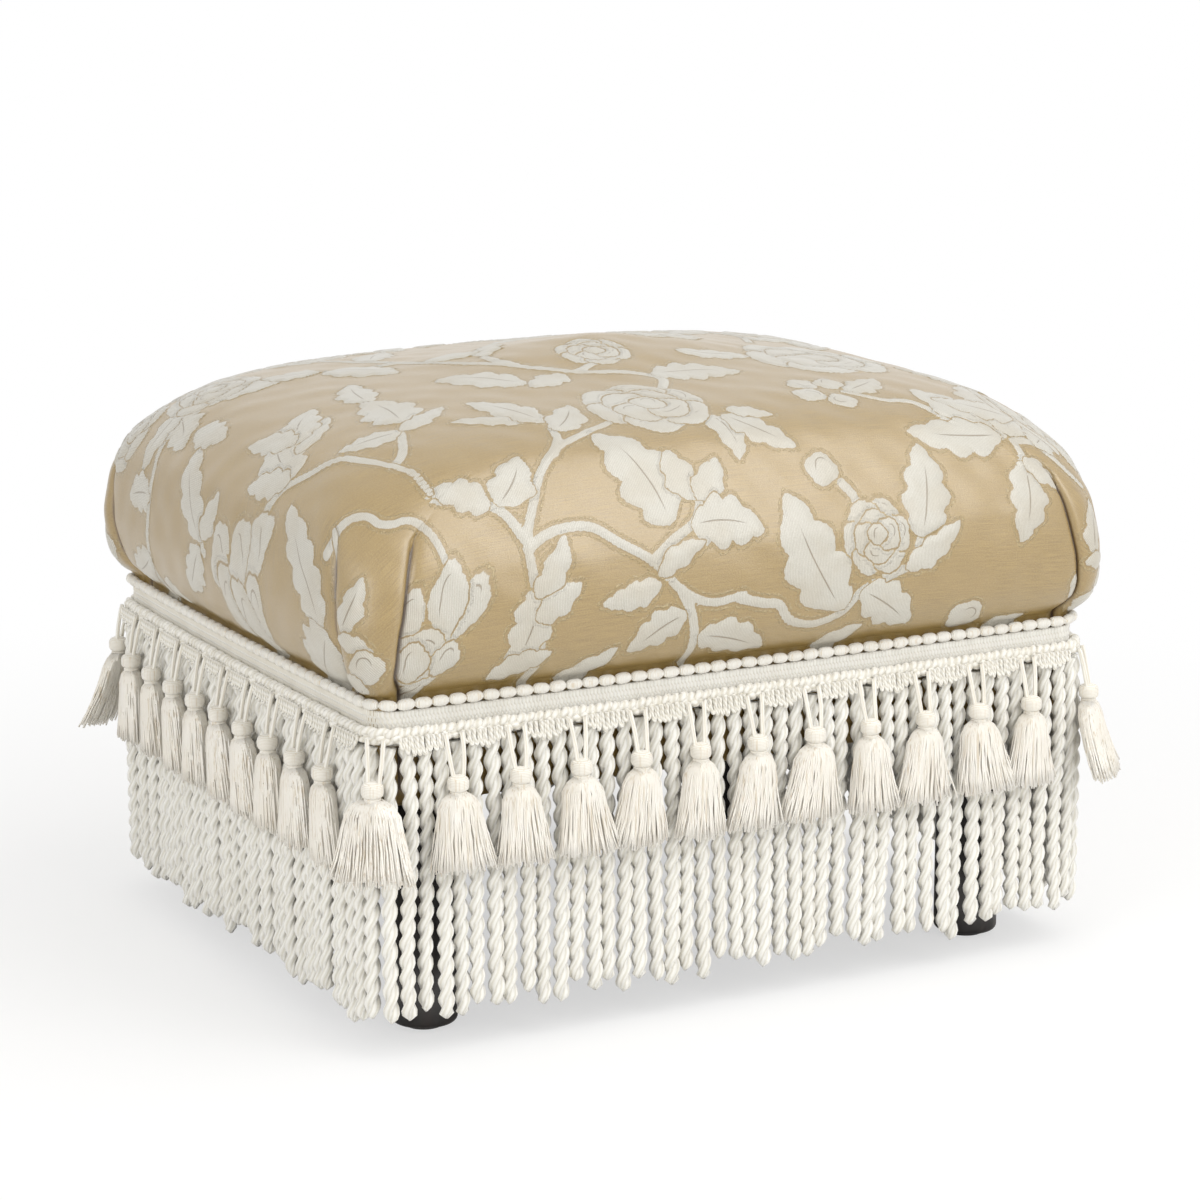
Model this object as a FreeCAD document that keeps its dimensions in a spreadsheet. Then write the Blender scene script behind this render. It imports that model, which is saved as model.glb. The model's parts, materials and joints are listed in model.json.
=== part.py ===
import FreeCAD
import Part
import Sketcher
import math
import os
import re

from FreeCAD import Vector

# Upholstered footstool: a screwed softwood frame on four turned legs, a crowned foam seat under
# batting and a woven cover, and a trim of beads, braid, gimp cord, tassels and bullion fringe.
# Millimetres, +X along the long front, +Y to the back, +Z up. The origin is on the floor, under
# the middle of the stool.

# Driving sizes
# Each size can be changed by itself. The rest is worked out from them.

SIZES = (
    # Overall
    ("seat_width", 445.0, "trim to trim, left to right"),
    ("seat_depth", 366.0, "trim to trim, front to back"),
    ("trim_rise", 57.1, "underside of the rails to the top edge of the bead row"),
    ("crown_rise", 150.0, "top edge of the bead row to the top of the crown"),
    ("trim_stand", 4.0, "how far the trim stands out from the cover"),
    ("side_bow", 3.0, "bow of each side at the trim"),
    ("trim_corner", 12.0, "corner radius of the cover at the trim"),
    ("overrun", 5.0, "how far a cutting shape runs past what it cuts"),
    ("fit_gap", 0.3, "clear space round soft pieces and seats"),
    # Cover, batting and pleats
    ("cover_thickness", 1.2, "woven cover with its backing"),
    ("hem_width", 20.0, "width of the cover turned under the rails"),
    ("batting_thickness", 8.0, "batting over the foam"),
    ("rail_padding", 5.0, "batting between the cover and the rails"),
    ("batting_drop", 18.0, "how far the batting runs down below the band"),
    ("pleat_front", 19.0, "from the corner to the pleat on the long sides"),
    ("pleat_side", 29.0, "from the corner to the pleat on the short sides"),
    ("pleat_depth", 3.2, "deepest fold of a pleat"),
    ("pleat_width", 5.0, "mouth of a pleat"),
    ("pleat_tuck", 3.0, "how far under the trim's top a pleat leaves the cover's upright part"),
    # Frame
    ("rail_thickness", 19.0, "planed softwood"),
    ("rail_height", 78.0, "height of the rails"),
    ("rail_rounding", 6.0, "eased upright corners of the frame"),
    ("block_leg", 72.0, "corner block along each rail"),
    ("block_height", 38.0, "height of a corner block"),
    ("deck_thickness", 12.0, "plywood deck"),
    ("deck_rounding", 12.0, "corners of the deck in plan"),
    ("dust_thickness", 0.8, "black cambric under the seat"),
    ("dust_inset", 8.0, "from the rails' outside to the dust cover's edge"),
    # Legs and their fixings
    ("leg_length", 130.5, "turned leg without its glide"),
    ("leg_diameter", 36.4, "turned leg"),
    ("leg_rounding", 6.0, "rounded foot of a leg"),
    ("leg_inset_side", 49.0, "trim's outside to a leg's axis, left to right"),
    ("leg_inset_front", 46.0, "trim's outside to a leg's axis, front to back"),
    ("bolt_diameter", 8.0, "hanger bolt"),
    ("bolt_in_leg", 38.0, "wood thread in the leg"),
    ("bore_gap", 0.2, "clear space round bolts, screws and nails"),
    ("nut_flange_diameter", 22.0, "flanged nut's flange"),
    ("nut_flange_thickness", 1.6, "flanged nut's flange"),
    ("nut_barrel_diameter", 11.0, "flanged nut's barrel"),
    ("nut_barrel_length", 13.0, "flanged nut's barrel"),
    ("glide_diameter", 22.0, "nail glide"),
    ("glide_thickness", 2.5, "nail glide"),
    ("glide_rounding", 1.0, "lower edge of the glide"),
    ("glide_nail_diameter", 2.6, "nail of the glide"),
    ("glide_nail_length", 16.0, "nail of the glide"),
    # Screws and staples
    ("screw_diameter", 4.0, "all wood screws"),
    ("screw_head_diameter", 8.0, "all wood screws"),
    ("screw_head_height", 2.4, "all wood screws"),
    ("rail_screw_length", 50.0, "through a long rail into a short one"),
    ("block_screw_length", 28.0, "through a corner block into a rail"),
    ("block_screw_reach", 55.0, "from the inner corner to a block screw"),
    ("block_screw_wood", 12.0, "block's wood under a block screw's head"),
    ("deck_screw_length", 32.0, "through the deck into a rail"),
    ("staple_wire", 0.7, "thickness of the staple wire"),
    ("staple_crown", 10.0, "width of a staple"),
    ("staple_leg", 8.0, "staple's legs in the wood"),
    ("staple_width", 1.2, "flat of the staple wire"),
    ("staple_pitch", 36.0, "from one staple to the next"),
    ("cover_staple_inset", 5.0, "from the rails' outside to the cover's staples"),
    ("dust_staple_inset", 14.5, "from the rails' outside to the dust cover's staples"),
    # Trim
    ("band_height", 18.7, "ribbed band"),
    ("band_thickness", 2.2, "ribbed band"),
    ("bead_pitch", 9.7, "from one bead to the next"),
    ("bead_diameter", 7.0, "height of an oval bead"),
    ("bead_neck", 2.4, "bead's ends where they meet"),
    ("gimp_diameter", 6.2, "raised cord on the band"),
    ("gimp_rise", 6.0, "band's lower edge to the middle of the cord"),
    ("scallop_width", 24.0, "cluster of loops"),
    ("scallop_drop", 9.0, "cluster of loops, below the middle of the gimp cord"),
    ("scallop_thickness", 2.4, "cluster of loops"),
    ("tassel_pitch", 36.0, "from one tassel to the next"),
    ("tassel_cord_diameter", 2.2, "each of the two cords of a tassel"),
    ("tassel_cord_spread", 8.0, "between the two cords at their top"),
    ("tassel_cord_drop", 22.0, "middle of the gimp cord down to the top of a tassel's head"),
    ("tassel_head_height", 10.0, "wound head"),
    ("tassel_head_diameter", 11.6, "wound head"),
    ("tassel_neck_diameter", 7.0, "wound head's ends"),
    ("tassel_skirt_length", 40.7, "from the head to the ends of the skirt's threads"),
    ("tassel_skirt_width", 29.0, "skirt at its ends"),
    ("tassel_skirt_depth", 12.0, "skirt at its ends, front to back"),
    ("strand_diameter", 8.6, "bullion strand"),
    ("strand_pitch", 9.6, "from one strand to the next"),
    ("strand_end", 20.7, "floor to the usual end of a strand"),
    ("strand_spread", 7.0, "how much longer or shorter a strand can be"),
)

# Sizes worked out from the driving ones, as formulas in a sheet of their own
# Heights rise from the floor through glide, leg, dust cover, hem and rail to the deck and the foam.
# The trim's heights follow the rails, and each of its layers follows the one it hangs from.

WORKED = (
    ("cover_half_x", "seat_width / 2 - trim_stand"),
    ("cover_half_y", "seat_depth / 2 - trim_stand"),
    ("wrap_depth", "cover_thickness + rail_padding + 2 * fit_gap"),
    ("rail_x", "cover_half_x - side_bow - wrap_depth"),
    ("rail_y", "cover_half_y - side_bow - wrap_depth"),
    ("rail_inner_x", "rail_x - rail_thickness"),
    ("rail_inner_y", "rail_y - rail_thickness"),
    ("dust_x", "rail_x - dust_inset"),
    ("dust_y", "rail_y - dust_inset"),
    ("batting_depth", "cover_thickness + fit_gap"),
    ("foam_depth", "batting_depth + batting_thickness + fit_gap"),
    ("hang_depth", "strand_diameter + 2 * fit_gap"),
    ("leg_x", "seat_width / 2 - leg_inset_side"),
    ("leg_y", "seat_depth / 2 - leg_inset_front"),
    ("leg_top", "glide_thickness + leg_length"),
    ("dust_bottom", "leg_top + fit_gap"),
    ("dust_top", "dust_bottom + dust_thickness"),
    ("hem_bottom", "dust_top + staple_wire + 2 * fit_gap"),
    ("hem_top", "hem_bottom + cover_thickness"),
    ("rail_bottom", "hem_top + fit_gap"),
    ("rail_top", "rail_bottom + rail_height"),
    ("block_top", "rail_bottom + block_height"),
    ("trim_top", "rail_bottom + trim_rise"),
    ("stool_height", "trim_top + crown_rise"),
    ("band_top", "trim_top - bead_diameter - fit_gap"),
    ("band_bottom", "band_top - band_height"),
    ("batting_start", "band_bottom - batting_drop"),
    ("gimp_height", "band_bottom + gimp_rise"),
    ("tassel_head_top", "gimp_height - tassel_cord_drop"),
    ("tassel_head_bottom", "tassel_head_top - tassel_head_height"),
    ("tassel_skirt_top", "tassel_head_bottom - fit_gap"),
    ("strand_top", "band_bottom - fit_gap"),
    ("strand_length", "strand_top - strand_end"),
    ("staple_rise", "rail_bottom + staple_leg - dust_top - fit_gap"),
    ("deck_top", "rail_top + deck_thickness"),
    ("foam_bottom", "deck_top + fit_gap"),
    ("leg_radius", "leg_diameter / 2"),
    ("bolt_radius", "bolt_diameter / 2"),
    ("bolt_bore", "bolt_radius + bore_gap"),
    ("bolt_bore_depth", "bolt_in_leg + bolt_radius"),
    ("nut_flange_radius", "nut_flange_diameter / 2"),
    ("nut_barrel_radius", "nut_barrel_diameter / 2"),
    ("nail_radius", "glide_nail_diameter / 2"),
    ("nail_bore", "nail_radius + bore_gap"),
    ("nail_bore_depth", "glide_nail_length + nail_radius"),
    ("glide_radius", "glide_diameter / 2"),
)

# The cushion's outline at rising heights above the trim. Every row is chosen by hand from the shape
# in the photo: height as a share of the crown's rise, width and depth as shares of the cover's half
# sizes, then the bow of the short sides, the bow of the long sides and the corner radius as shares
# of the half depth.

CUSHION_SHARES = (
    (0.070, 1.048, 1.062, 0.022, 0.028, 0.090),
    (0.155, 1.077, 1.095, 0.034, 0.039, 0.125),
    (0.280, 1.096, 1.106, 0.046, 0.052, 0.170),
    (0.415, 1.098, 1.094, 0.052, 0.061, 0.210),
    (0.550, 1.085, 1.052, 0.062, 0.072, 0.265),
    (0.665, 1.034, 0.998, 0.075, 0.088, 0.335),
    (0.765, 0.943, 0.925, 0.090, 0.106, 0.420),
    (0.850, 0.760, 0.745, 0.140, 0.160, 0.410),
    (0.915, 0.455, 0.385, 0.175, 0.210, 0.250),
    (0.967, 0.225, 0.180, 0.110, 0.135, 0.100),
    (1.000, 0.090, 0.070, 0.030, 0.035, 0.035),
)

# The share of the rise above which a layer also gets thinner upwards
WIDEST_SHARE = 0.415

# A pleat starts under the trim and dies out in the shoulder: its depth at the trim and at the rows
# of the table above it, as shares of the deepest fold, and the least width it keeps.

PLEAT_SHARES = (0.75, 0.9, 1.0, 0.85, 0.45, -0.4)
PLEAT_END_SHARE = 0.3

# How far each strand of the bullion ends from its usual length, as shares of the spread. The list
# is gone through again and again, so neighbours differ and no side looks like the next.

STRAND_SHARES = (0.1, -0.5, 0.6, -0.2, 0.9, -0.8, 0.3, 0.0, -1.0, 0.7, -0.4, 0.5, 1.0)

# The skirt of a tassel on its way down: how far down, how wide and how deep it is there

SKIRT_SHARES = ((0.0, 0.42, 0.80), (0.16, 0.54, 0.86), (0.55, 0.80, 0.95), (1.0, 1.0, 1.0))
SKIRT_ROUND_SHARES = (0.35, 0.25, 0.50)

# The rings of a bead or a wound head: how far along it lies, and how much of the swelling it has

BARREL_SHARES = (
    (0.0, 0.0),
    (0.1, 0.45),
    (0.28, 0.84),
    (0.5, 1.0),
    (0.72, 0.84),
    (0.9, 0.45),
    (1.0, 0.0),
)

# Places along the rails as shares of their half lengths or of their height

DECK_SCREW_SHARES = {"long": (-0.6, 0.0, 0.6), "short": (-0.5, 0.5)}
RAIL_SCREW_SHARES = (0.25, 0.75)
BLOCK_SCREW_SHARE = 0.5

# The four corners as signs of X and Y, with the names that the pieces there carry

CORNERS = (
    ("front_left", -1, -1),
    ("front_right", 1, -1),
    ("back_left", -1, 1),
    ("back_right", 1, 1),
)

SIDES = ("front", "back", "left", "right")

# Lengths and shares below this count as nothing
SMALL = 1e-6

# Points nearer than this count as one where curved solids are cut by each other
CLOSENESS = 1e-4

# Lofts of a low degree keep close to their outlines between them
LOFT_DEGREE = 3

doc = FreeCAD.newDocument("Footstool")

sizes = doc.addObject("Spreadsheet::Sheet", "Sizes")
for row, (alias, value, note) in enumerate(SIZES, start=1):
    sizes.set(f"A{row}", note)
    sizes.set(f"B{row}", str(value))
    sizes.setAlias(f"B{row}", alias)

SIZE_NAMES = {alias for alias, _, _ in SIZES}
WORKED_NAMES = {alias for alias, _ in WORKED}


def linked(formula):
    """The formula with each size's name led back to the sheet that holds it."""

    def lead(match):
        word = match.group(0)
        if word in SIZE_NAMES:
            return "Sizes." + word
        if word in WORKED_NAMES:
            return "Worked." + word
        return word

    return re.sub(r"[a-z_]{4,}", lead, formula)


worked = doc.addObject("Spreadsheet::Sheet", "Worked")
for row, (alias, formula) in enumerate(WORKED, start=1):
    worked.set(f"A{row}", formula)
    text = linked(formula).replace("Worked.", "")
    worked.set(f"B{row}", "=" + text)
    worked.setAlias(f"B{row}", alias)
doc.recompute()


def size(name):
    """The value of one named size, in millimetres."""
    sheet = sizes if name in SIZE_NAMES else worked
    return float(sheet.get(name))


def amount(formula):
    """The value of a sum of named sizes, such as 'rail_top - rail_height'."""
    total = 0.0
    sign = 1
    for word in formula.split():
        if word == "-":
            sign = -1
        elif word == "+":
            sign = 1
        elif word != "0":
            total += sign * size(word)
    return total


def bind(thing, **formulas):
    """Ties properties of an object to sums of named sizes."""
    for prop, formula in formulas.items():
        thing.setExpression(prop, linked(formula))


def place(thing, x="0", y="0", z="0"):
    """Ties an object's place to sums of named sizes."""
    for axis, formula in (("x", x), ("y", y), ("z", z)):
        thing.setExpression("Placement.Base." + axis, linked(formula))


# Sketches and features of the rigid pieces


def new_sketch(body, plane, name):
    """An empty sketch on one of the body's own origin planes."""
    sketch = body.newObject("Sketcher::SketchObject", name)
    face = next(f for f in body.Origin.OriginFeatures if f.Role == plane)
    sketch.AttachmentSupport = [(face, "")]
    sketch.MapMode = "FlatFace"
    return sketch


def pin(sketch, geometry, point, x, y):
    """Holds a point of the sketch at two sums of named sizes, or on an axis where one is zero."""
    for kind, formula, axis in (("DistanceX", x, -2), ("DistanceY", y, -1)):
        if formula == "0":
            sketch.addConstraint(Sketcher.Constraint("PointOnObject", geometry, point, axis))
            continue
        value = amount(formula)
        index = sketch.addConstraint(Sketcher.Constraint(kind, -1, 1, geometry, point, value))
        sketch.setExpression(f"Constraints[{index}]", linked(formula))


def polygon(sketch, corners):
    """A closed outline of straight lines through corners given as sums of named sizes."""
    points = [Vector(amount(x), amount(y), 0) for x, y in corners]
    count = len(points)
    first = sketch.GeometryCount
    for i in range(count):
        sketch.addGeometry(Part.LineSegment(points[i], points[(i + 1) % count]))
    for i in range(count):
        ends = (first + i, 2, first + (i + 1) % count, 1)
        sketch.addConstraint(Sketcher.Constraint("Coincident", *ends))
    for i, (x, y) in enumerate(corners):
        pin(sketch, first + i, 1, x, y)


def new_body(name):
    """An empty body that is named after the piece it holds."""
    body = doc.addObject("PartDesign::Body", name)
    body.Label = name
    return body


def pad(body, sketch, length):
    """Raises a sketch to a named height."""
    feature = body.newObject("PartDesign::Pad", "Pad")
    feature.Profile = sketch
    bind(feature, Length=length)
    doc.recompute()
    return feature


def turn(body, sketch):
    """Turns a half outline round the body's upright axis."""
    feature = body.newObject("PartDesign::Revolution", "Turned")
    feature.Profile = sketch
    feature.ReferenceAxis = (sketch, ["V_Axis"])
    feature.Angle = 360
    doc.recompute()
    return feature


def round_edges(body, base, wanted, radius):
    """Rounds the edges of a feature that a test picks, by a named radius."""
    edges = [f"Edge{i}" for i, edge in enumerate(base.Shape.Edges, start=1) if wanted(edge)]
    feature = body.newObject("PartDesign::Fillet", "Rounding")
    feature.Base = (base, edges)
    bind(feature, Radius=radius)
    doc.recompute()
    return feature


def upright(edge):
    """Whether an edge stands straight up."""
    if len(edge.Vertexes) != 2:
        return False
    run = edge.Vertexes[1].Point - edge.Vertexes[0].Point
    return abs(run.x) + abs(run.y) < abs(run.z) * SMALL


def feature(name, shape):
    """A piece whose shape is worked out from the sheet's sizes below."""
    made = doc.addObject("Part::Feature", name)
    made.Label = name
    made.Shape = shape
    return made


def drilled(name, blank, tools):
    """A piece made from its blank by cutting the holes of its fastenings."""
    made = doc.addObject("Part::Cut", name)
    made.Label = name
    made.Base = blank
    made.Tool = tools
    return made


# Outlines of the seat
# Each outline is four side arcs and four corner arcs that meet without a corner between them.


class Outline:
    """A closed plan outline: half width, half depth, bow of its sides and corner radius."""

    def __init__(self, half_x, half_y, bow_side, bow_front, corner):
        self.half_x = half_x
        self.half_y = half_y
        self.corner = corner
        self.front_radius = (half_x**2 + bow_front**2) / (2 * bow_front)
        self.side_radius = (half_y**2 + bow_side**2) / (2 * bow_side)
        self.front_centre = Vector(0, self.front_radius - half_y, 0)
        self.side_centre = Vector(half_x - self.side_radius, 0, 0)
        # the corner's centre is as far inside both big circles as its own radius
        reach_front = self.front_radius - corner
        reach_side = self.side_radius - corner
        between = self.side_centre - self.front_centre
        apart = between.Length
        along = (reach_front**2 - reach_side**2 + apart**2) / (2 * apart)
        across = math.sqrt(reach_front**2 - along**2)
        heading = between * (1 / apart)
        sideways = Vector(-heading.y, heading.x, 0)
        first = self.front_centre + heading * along + sideways * across
        second = self.front_centre + heading * along - sideways * across
        self.corner_centre = first if first.x - first.y > second.x - second.y else second
        self.front_end = self.touch(self.front_centre, self.front_radius)
        self.side_end = self.touch(self.side_centre, self.side_radius)

    def touch(self, centre, radius):
        """Where the corner arc meets a big arc."""
        away = self.corner_centre - centre
        return centre + away * (radius / away.Length)

    def inset(self, depth):
        """The same outline drawn in by a depth, or let out where the depth is below zero."""
        made = Outline.__new__(Outline)
        made.half_x = self.half_x - depth
        made.half_y = self.half_y - depth
        made.corner = self.corner - depth
        made.front_radius = self.front_radius - depth
        made.side_radius = self.side_radius - depth
        made.front_centre = self.front_centre
        made.side_centre = self.side_centre
        made.corner_centre = self.corner_centre
        made.front_end = made.touch(made.front_centre, made.front_radius)
        made.side_end = made.touch(made.side_centre, made.side_radius)
        return made

    def corner_middle(self):
        """The middle of the corner arc."""
        middle = (self.front_end + self.side_end) * 0.5 - self.corner_centre
        return self.corner_centre + middle * (self.corner / middle.Length)

    def wire(self, z):
        """The outline as a closed wire at a height, all round from the middle of the front."""
        front = Vector(0, -self.half_y, 0)
        side = Vector(self.half_x, 0, 0)
        quarter = (
            (front, self.front_middle(front, self.front_end), self.front_end),
            (self.front_end, self.corner_middle(), self.side_end),
            (self.side_end, self.side_middle(self.side_end, side), side),
        )
        returned = tuple((end, middle, start) for start, middle, end in reversed(quarter))
        edges = []
        for sign_x, sign_y in ((1, 1), (1, -1), (-1, -1), (-1, 1)):
            for arc in quarter if sign_x == sign_y else returned:
                points = [Vector(p.x * sign_x, p.y * sign_y, z) for p in arc]
                edges.append(Part.Arc(*points).toShape())
        return Part.Wire(edges)

    def front_middle(self, start, end):
        """The point of the front arc halfway between two of its points."""
        middle = (start + end) * 0.5 - self.front_centre
        return self.front_centre + middle * (self.front_radius / middle.Length)

    def side_middle(self, start, end):
        """The point of the side arc halfway between two of its points."""
        middle = (start + end) * 0.5 - self.side_centre
        return self.side_centre + middle * (self.side_radius / middle.Length)

    def front_at(self, x):
        """The point of the front edge, or of the corner arc, at a place along X, right of the middle."""
        if x <= self.front_end.x:
            centre, radius = self.front_centre, self.front_radius
        else:
            centre, radius = self.corner_centre, self.corner
        y = centre.y - math.sqrt(radius**2 - (x - centre.x) ** 2)
        point = Vector(x, y, 0)
        return point, (point - centre).normalize()

    def side_at(self, y):
        """The point of the right edge, or of the corner arc, at a place along Y, before the middle."""
        if y >= self.side_end.y:
            centre, radius = self.side_centre, self.side_radius
        else:
            centre, radius = self.corner_centre, self.corner
        x = centre.x + math.sqrt(radius**2 - (y - centre.y) ** 2)
        point = Vector(x, y, 0)
        return point, (point - centre).normalize()

    def front_run(self):
        """The arcs from the middle of the front to the middle of the right front corner."""
        start = Vector(0, -self.half_y, 0)
        return (
            (self.front_centre, self.front_radius, start, self.front_end),
            (self.corner_centre, self.corner, self.front_end, self.corner_middle()),
        )

    def side_run(self):
        """The arcs from the middle of the right side to the middle of the right front corner."""
        start = Vector(self.half_x, 0, 0)
        return (
            (self.side_centre, self.side_radius, start, self.side_end),
            (self.corner_centre, self.corner, self.side_end, self.corner_middle()),
        )


def arc_angle(centre, start, end):
    """The angle between two points of an arc, seen from its centre."""
    return (start - centre).getAngle(end - centre)


def run_length(run):
    """The length of a row of arcs."""
    return sum(radius * arc_angle(centre, start, end) for centre, radius, start, end in run)


def run_point(run, distance):
    """A point and its outward direction, a distance along a row of arcs."""
    for centre, radius, start, end in run:
        angle = arc_angle(centre, start, end)
        if distance <= radius * angle + SMALL:
            break
        distance -= radius * angle
    first = start - centre
    last = end - centre
    sense = 1 if first.cross(last).z > 0 else -1
    turned = sense * distance / radius
    away = Vector(
        first.x * math.cos(turned) - first.y * math.sin(turned),
        first.x * math.sin(turned) + first.y * math.cos(turned),
        0,
    )
    return centre + away, away.normalize()


def stations(outline, side, places):
    """Points and outward directions on one side, at distances from the side's middle.

    Distances below zero lie to the left on the long sides and to the front on the short ones.
    """
    run = outline.front_run() if side in ("front", "back") else outline.side_run()
    found = []
    for distance in places:
        point, away = run_point(run, abs(distance))
        flip = -1 if distance < 0 else 1
        if side == "front":
            signs = (flip, 1)
        elif side == "back":
            signs = (flip, -1)
        elif side == "right":
            signs = (1, -flip)
        else:
            signs = (-1, -flip)
        found.append(
            (
                Vector(point.x * signs[0], point.y * signs[1], 0),
                Vector(away.x * signs[0], away.y * signs[1], 0),
            )
        )
    return found


def side_half(outline, side):
    """Half the length of a side, from its middle to the middle of its corner."""
    return run_length(outline.front_run() if side in ("front", "back") else outline.side_run())


def even_places(half, count):
    """Places for a number of things spread evenly over a side, none at its ends."""
    step = 2 * half / count
    return [(i + 0.5) * step - half for i in range(count)]


def post_places(half, count):
    """Places for a number of things spread evenly over a side, with one at each end."""
    step = 2 * half / (count - 1)
    return [min(max(i * step - half, -half), half) for i in range(count)]


# Soft forms of the seat


def trim_outline(depth=0.0):
    """The cover's outline at the trim, which it keeps down to its hem, drawn in by a depth."""
    half_x = size("cover_half_x") - depth
    half_y = size("cover_half_y") - depth
    return Outline(half_x, half_y, size("side_bow"), size("side_bow"), size("trim_corner"))


def cushion_levels(depth):
    """The cushion's outlines with their heights, drawn in by a depth.

    Above the widest row the heights sink too, at the crown by the whole depth.
    """
    rise = size("crown_rise")
    half_x = size("cover_half_x") - depth
    half_y = size("cover_half_y") - depth
    levels = [(trim_outline(depth), size("trim_top"))]
    for height, width, deep, bow_side, bow_front, corner in CUSHION_SHARES:
        sink = depth * max(0.0, (height - WIDEST_SHARE) / (1 - WIDEST_SHARE))
        outline = Outline(
            half_x * width, half_y * deep, half_y * bow_side, half_y * bow_front, half_y * corner
        )
        levels.append((outline, size("trim_top") + rise * height - sink))
    return levels


def raised(outline, low, high):
    """An upright solid over an outline, between two heights."""
    return Part.Face(outline.wire(low)).extrude(Vector(0, 0, high - low))


def slab(half_x, half_y, low, high):
    """A plain block round the upright axis."""
    return Part.makeBox(2 * half_x, 2 * half_y, high - low, Vector(-half_x, -half_y, low))


def room_above(low):
    """A block over the whole seat from a height up, to keep only what lies above it."""
    return slab(
        size("seat_width"), size("seat_depth"), low, size("stool_height") + size("overrun")
    )


def pleat(depth, on_side):
    """A cutter for one pleat of the right front corner: a narrow fold that follows the cushion up."""
    fold = size("pleat_depth")
    triangles = []
    for share, (outline, z) in zip(PLEAT_SHARES, cushion_levels(depth)):
        if on_side:
            point, away = outline.side_at(size("pleat_side") - outline.half_y)
        else:
            point, away = outline.front_at(outline.half_x - size("pleat_front"))
        along = Vector(-away.y, away.x, 0) * (size("pleat_width") * max(share, PLEAT_END_SHARE))
        inside, outside = point - away * fold * share, point + away * fold
        corners = (inside, outside + along, outside - along)
        placed = [corner + Vector(0, 0, z) for corner in corners]
        triangles.append(Part.makePolygon(placed + placed[:1]))
    triangles[0].translate(Vector(0, 0, -size("pleat_tuck")))
    start = triangles[0].copy()
    start.translate(Vector(0, 0, size("band_bottom") - size("band_top")))
    return Part.makeLoft([start] + triangles, True, True)


def in_corners(shape):
    """A shape of the right front corner with its mirror images in the other three."""
    across = shape.mirror(Vector(0, 0, 0), Vector(1, 0, 0))
    back = Vector(0, 1, 0)
    return [shape, across, shape.mirror(Vector(0, 0, 0), back), across.mirror(Vector(0, 0, 0), back)]


def cushion(depth, low, pleated):
    """The seat's closed form from a height up, with its crown and swelling sides, drawn in by a depth."""
    wires = [outline.wire(z) for outline, z in cushion_levels(depth)]
    crown = Part.makeLoft(wires, True, False, False, LOFT_DEGREE)
    form = crown.fuse(raised(trim_outline(depth), low, size("trim_top")))
    if not pleated:
        return form
    folds = in_corners(pleat(depth, False)) + in_corners(pleat(depth, True))
    return form.cut(folds, CLOSENESS)


# Fastenings
# A fastening is turned about its own axis with its head at zero, then set down at its places.
# The same places give the holes.


def turned(profile):
    """A solid turned about the upright axis from its half outline of radius and height pairs."""
    points = [Vector(radius, 0, z) for radius, z in profile]
    face = Part.Face(Part.makePolygon(points + points[:1]))
    return face.revolve(Vector(0, 0, 0), Vector(0, 0, 1), 360)


def set_down(shape, at, heading):
    """A copy of a shape moved to a place, with its length laid along a heading."""
    copy = shape.copy()
    copy.Placement = FreeCAD.Placement(at, FreeCAD.Rotation(Vector(0, 0, -1), heading))
    return copy


def screw(length):
    """A countersunk wood screw, its head's top at zero and its point below."""
    head = size("screw_head_diameter") / 2
    shank = size("screw_diameter") / 2
    return turned(
        (
            (0, 0),
            (head, 0),
            (shank, -size("screw_head_height")),
            (shank, size("screw_diameter") - length),
            (0, -length),
        )
    )


def screw_hole(length, way):
    """The hole for a screw, with a way in for its head."""
    gap = size("bore_gap")
    head = size("screw_head_diameter") / 2 + gap
    shank = size("screw_diameter") / 2 + gap
    return turned(
        (
            (0, way),
            (head, way),
            (head, 0),
            (shank, -size("screw_head_height")),
            (shank, -length - gap),
            (0, -length - gap),
        )
    )


def rail_screw_places():
    """Where the screws go through the long rails into the ends of the short ones."""
    x = size("rail_x") - size("rail_thickness") / 2
    heights = [size("rail_bottom") + size("rail_height") * share for share in RAIL_SCREW_SHARES]
    return [
        (Vector(sign_x * x, sign_y * size("rail_y"), z), Vector(0, -sign_y, 0))
        for _, sign_x, sign_y in CORNERS
        for z in heights
    ]


def block_screw_places():
    """Where the screws go through the wings of the corner blocks into the rails."""
    z = size("rail_bottom") + size("block_height") * BLOCK_SCREW_SHARE
    inner_x, inner_y = size("rail_inner_x"), size("rail_inner_y")
    reach, wood = size("block_screw_reach"), size("block_screw_wood")
    places = []
    for _, sign_x, sign_y in CORNERS:
        to_long = Vector(sign_x * (inner_x - reach), sign_y * (inner_y - wood), z)
        to_short = Vector(sign_x * (inner_x - wood), sign_y * (inner_y - reach), z)
        places.append((to_long, Vector(0, sign_y, 0)))
        places.append((to_short, Vector(sign_x, 0, 0)))
    return places


def deck_screw_places():
    """Where the screws go down through the deck into the rails."""
    over_x = size("rail_x") - size("rail_thickness") / 2
    over_y = size("rail_y") - size("rail_thickness") / 2
    z = size("deck_top")
    places = []
    for sign in (-1, 1):
        for share in DECK_SCREW_SHARES["long"]:
            places.append(Vector(size("rail_x") * share, sign * over_y, z))
        for share in DECK_SCREW_SHARES["short"]:
            places.append(Vector(sign * over_x, size("rail_inner_y") * share, z))
    return [(place_at, Vector(0, 0, -1)) for place_at in places]


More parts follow.
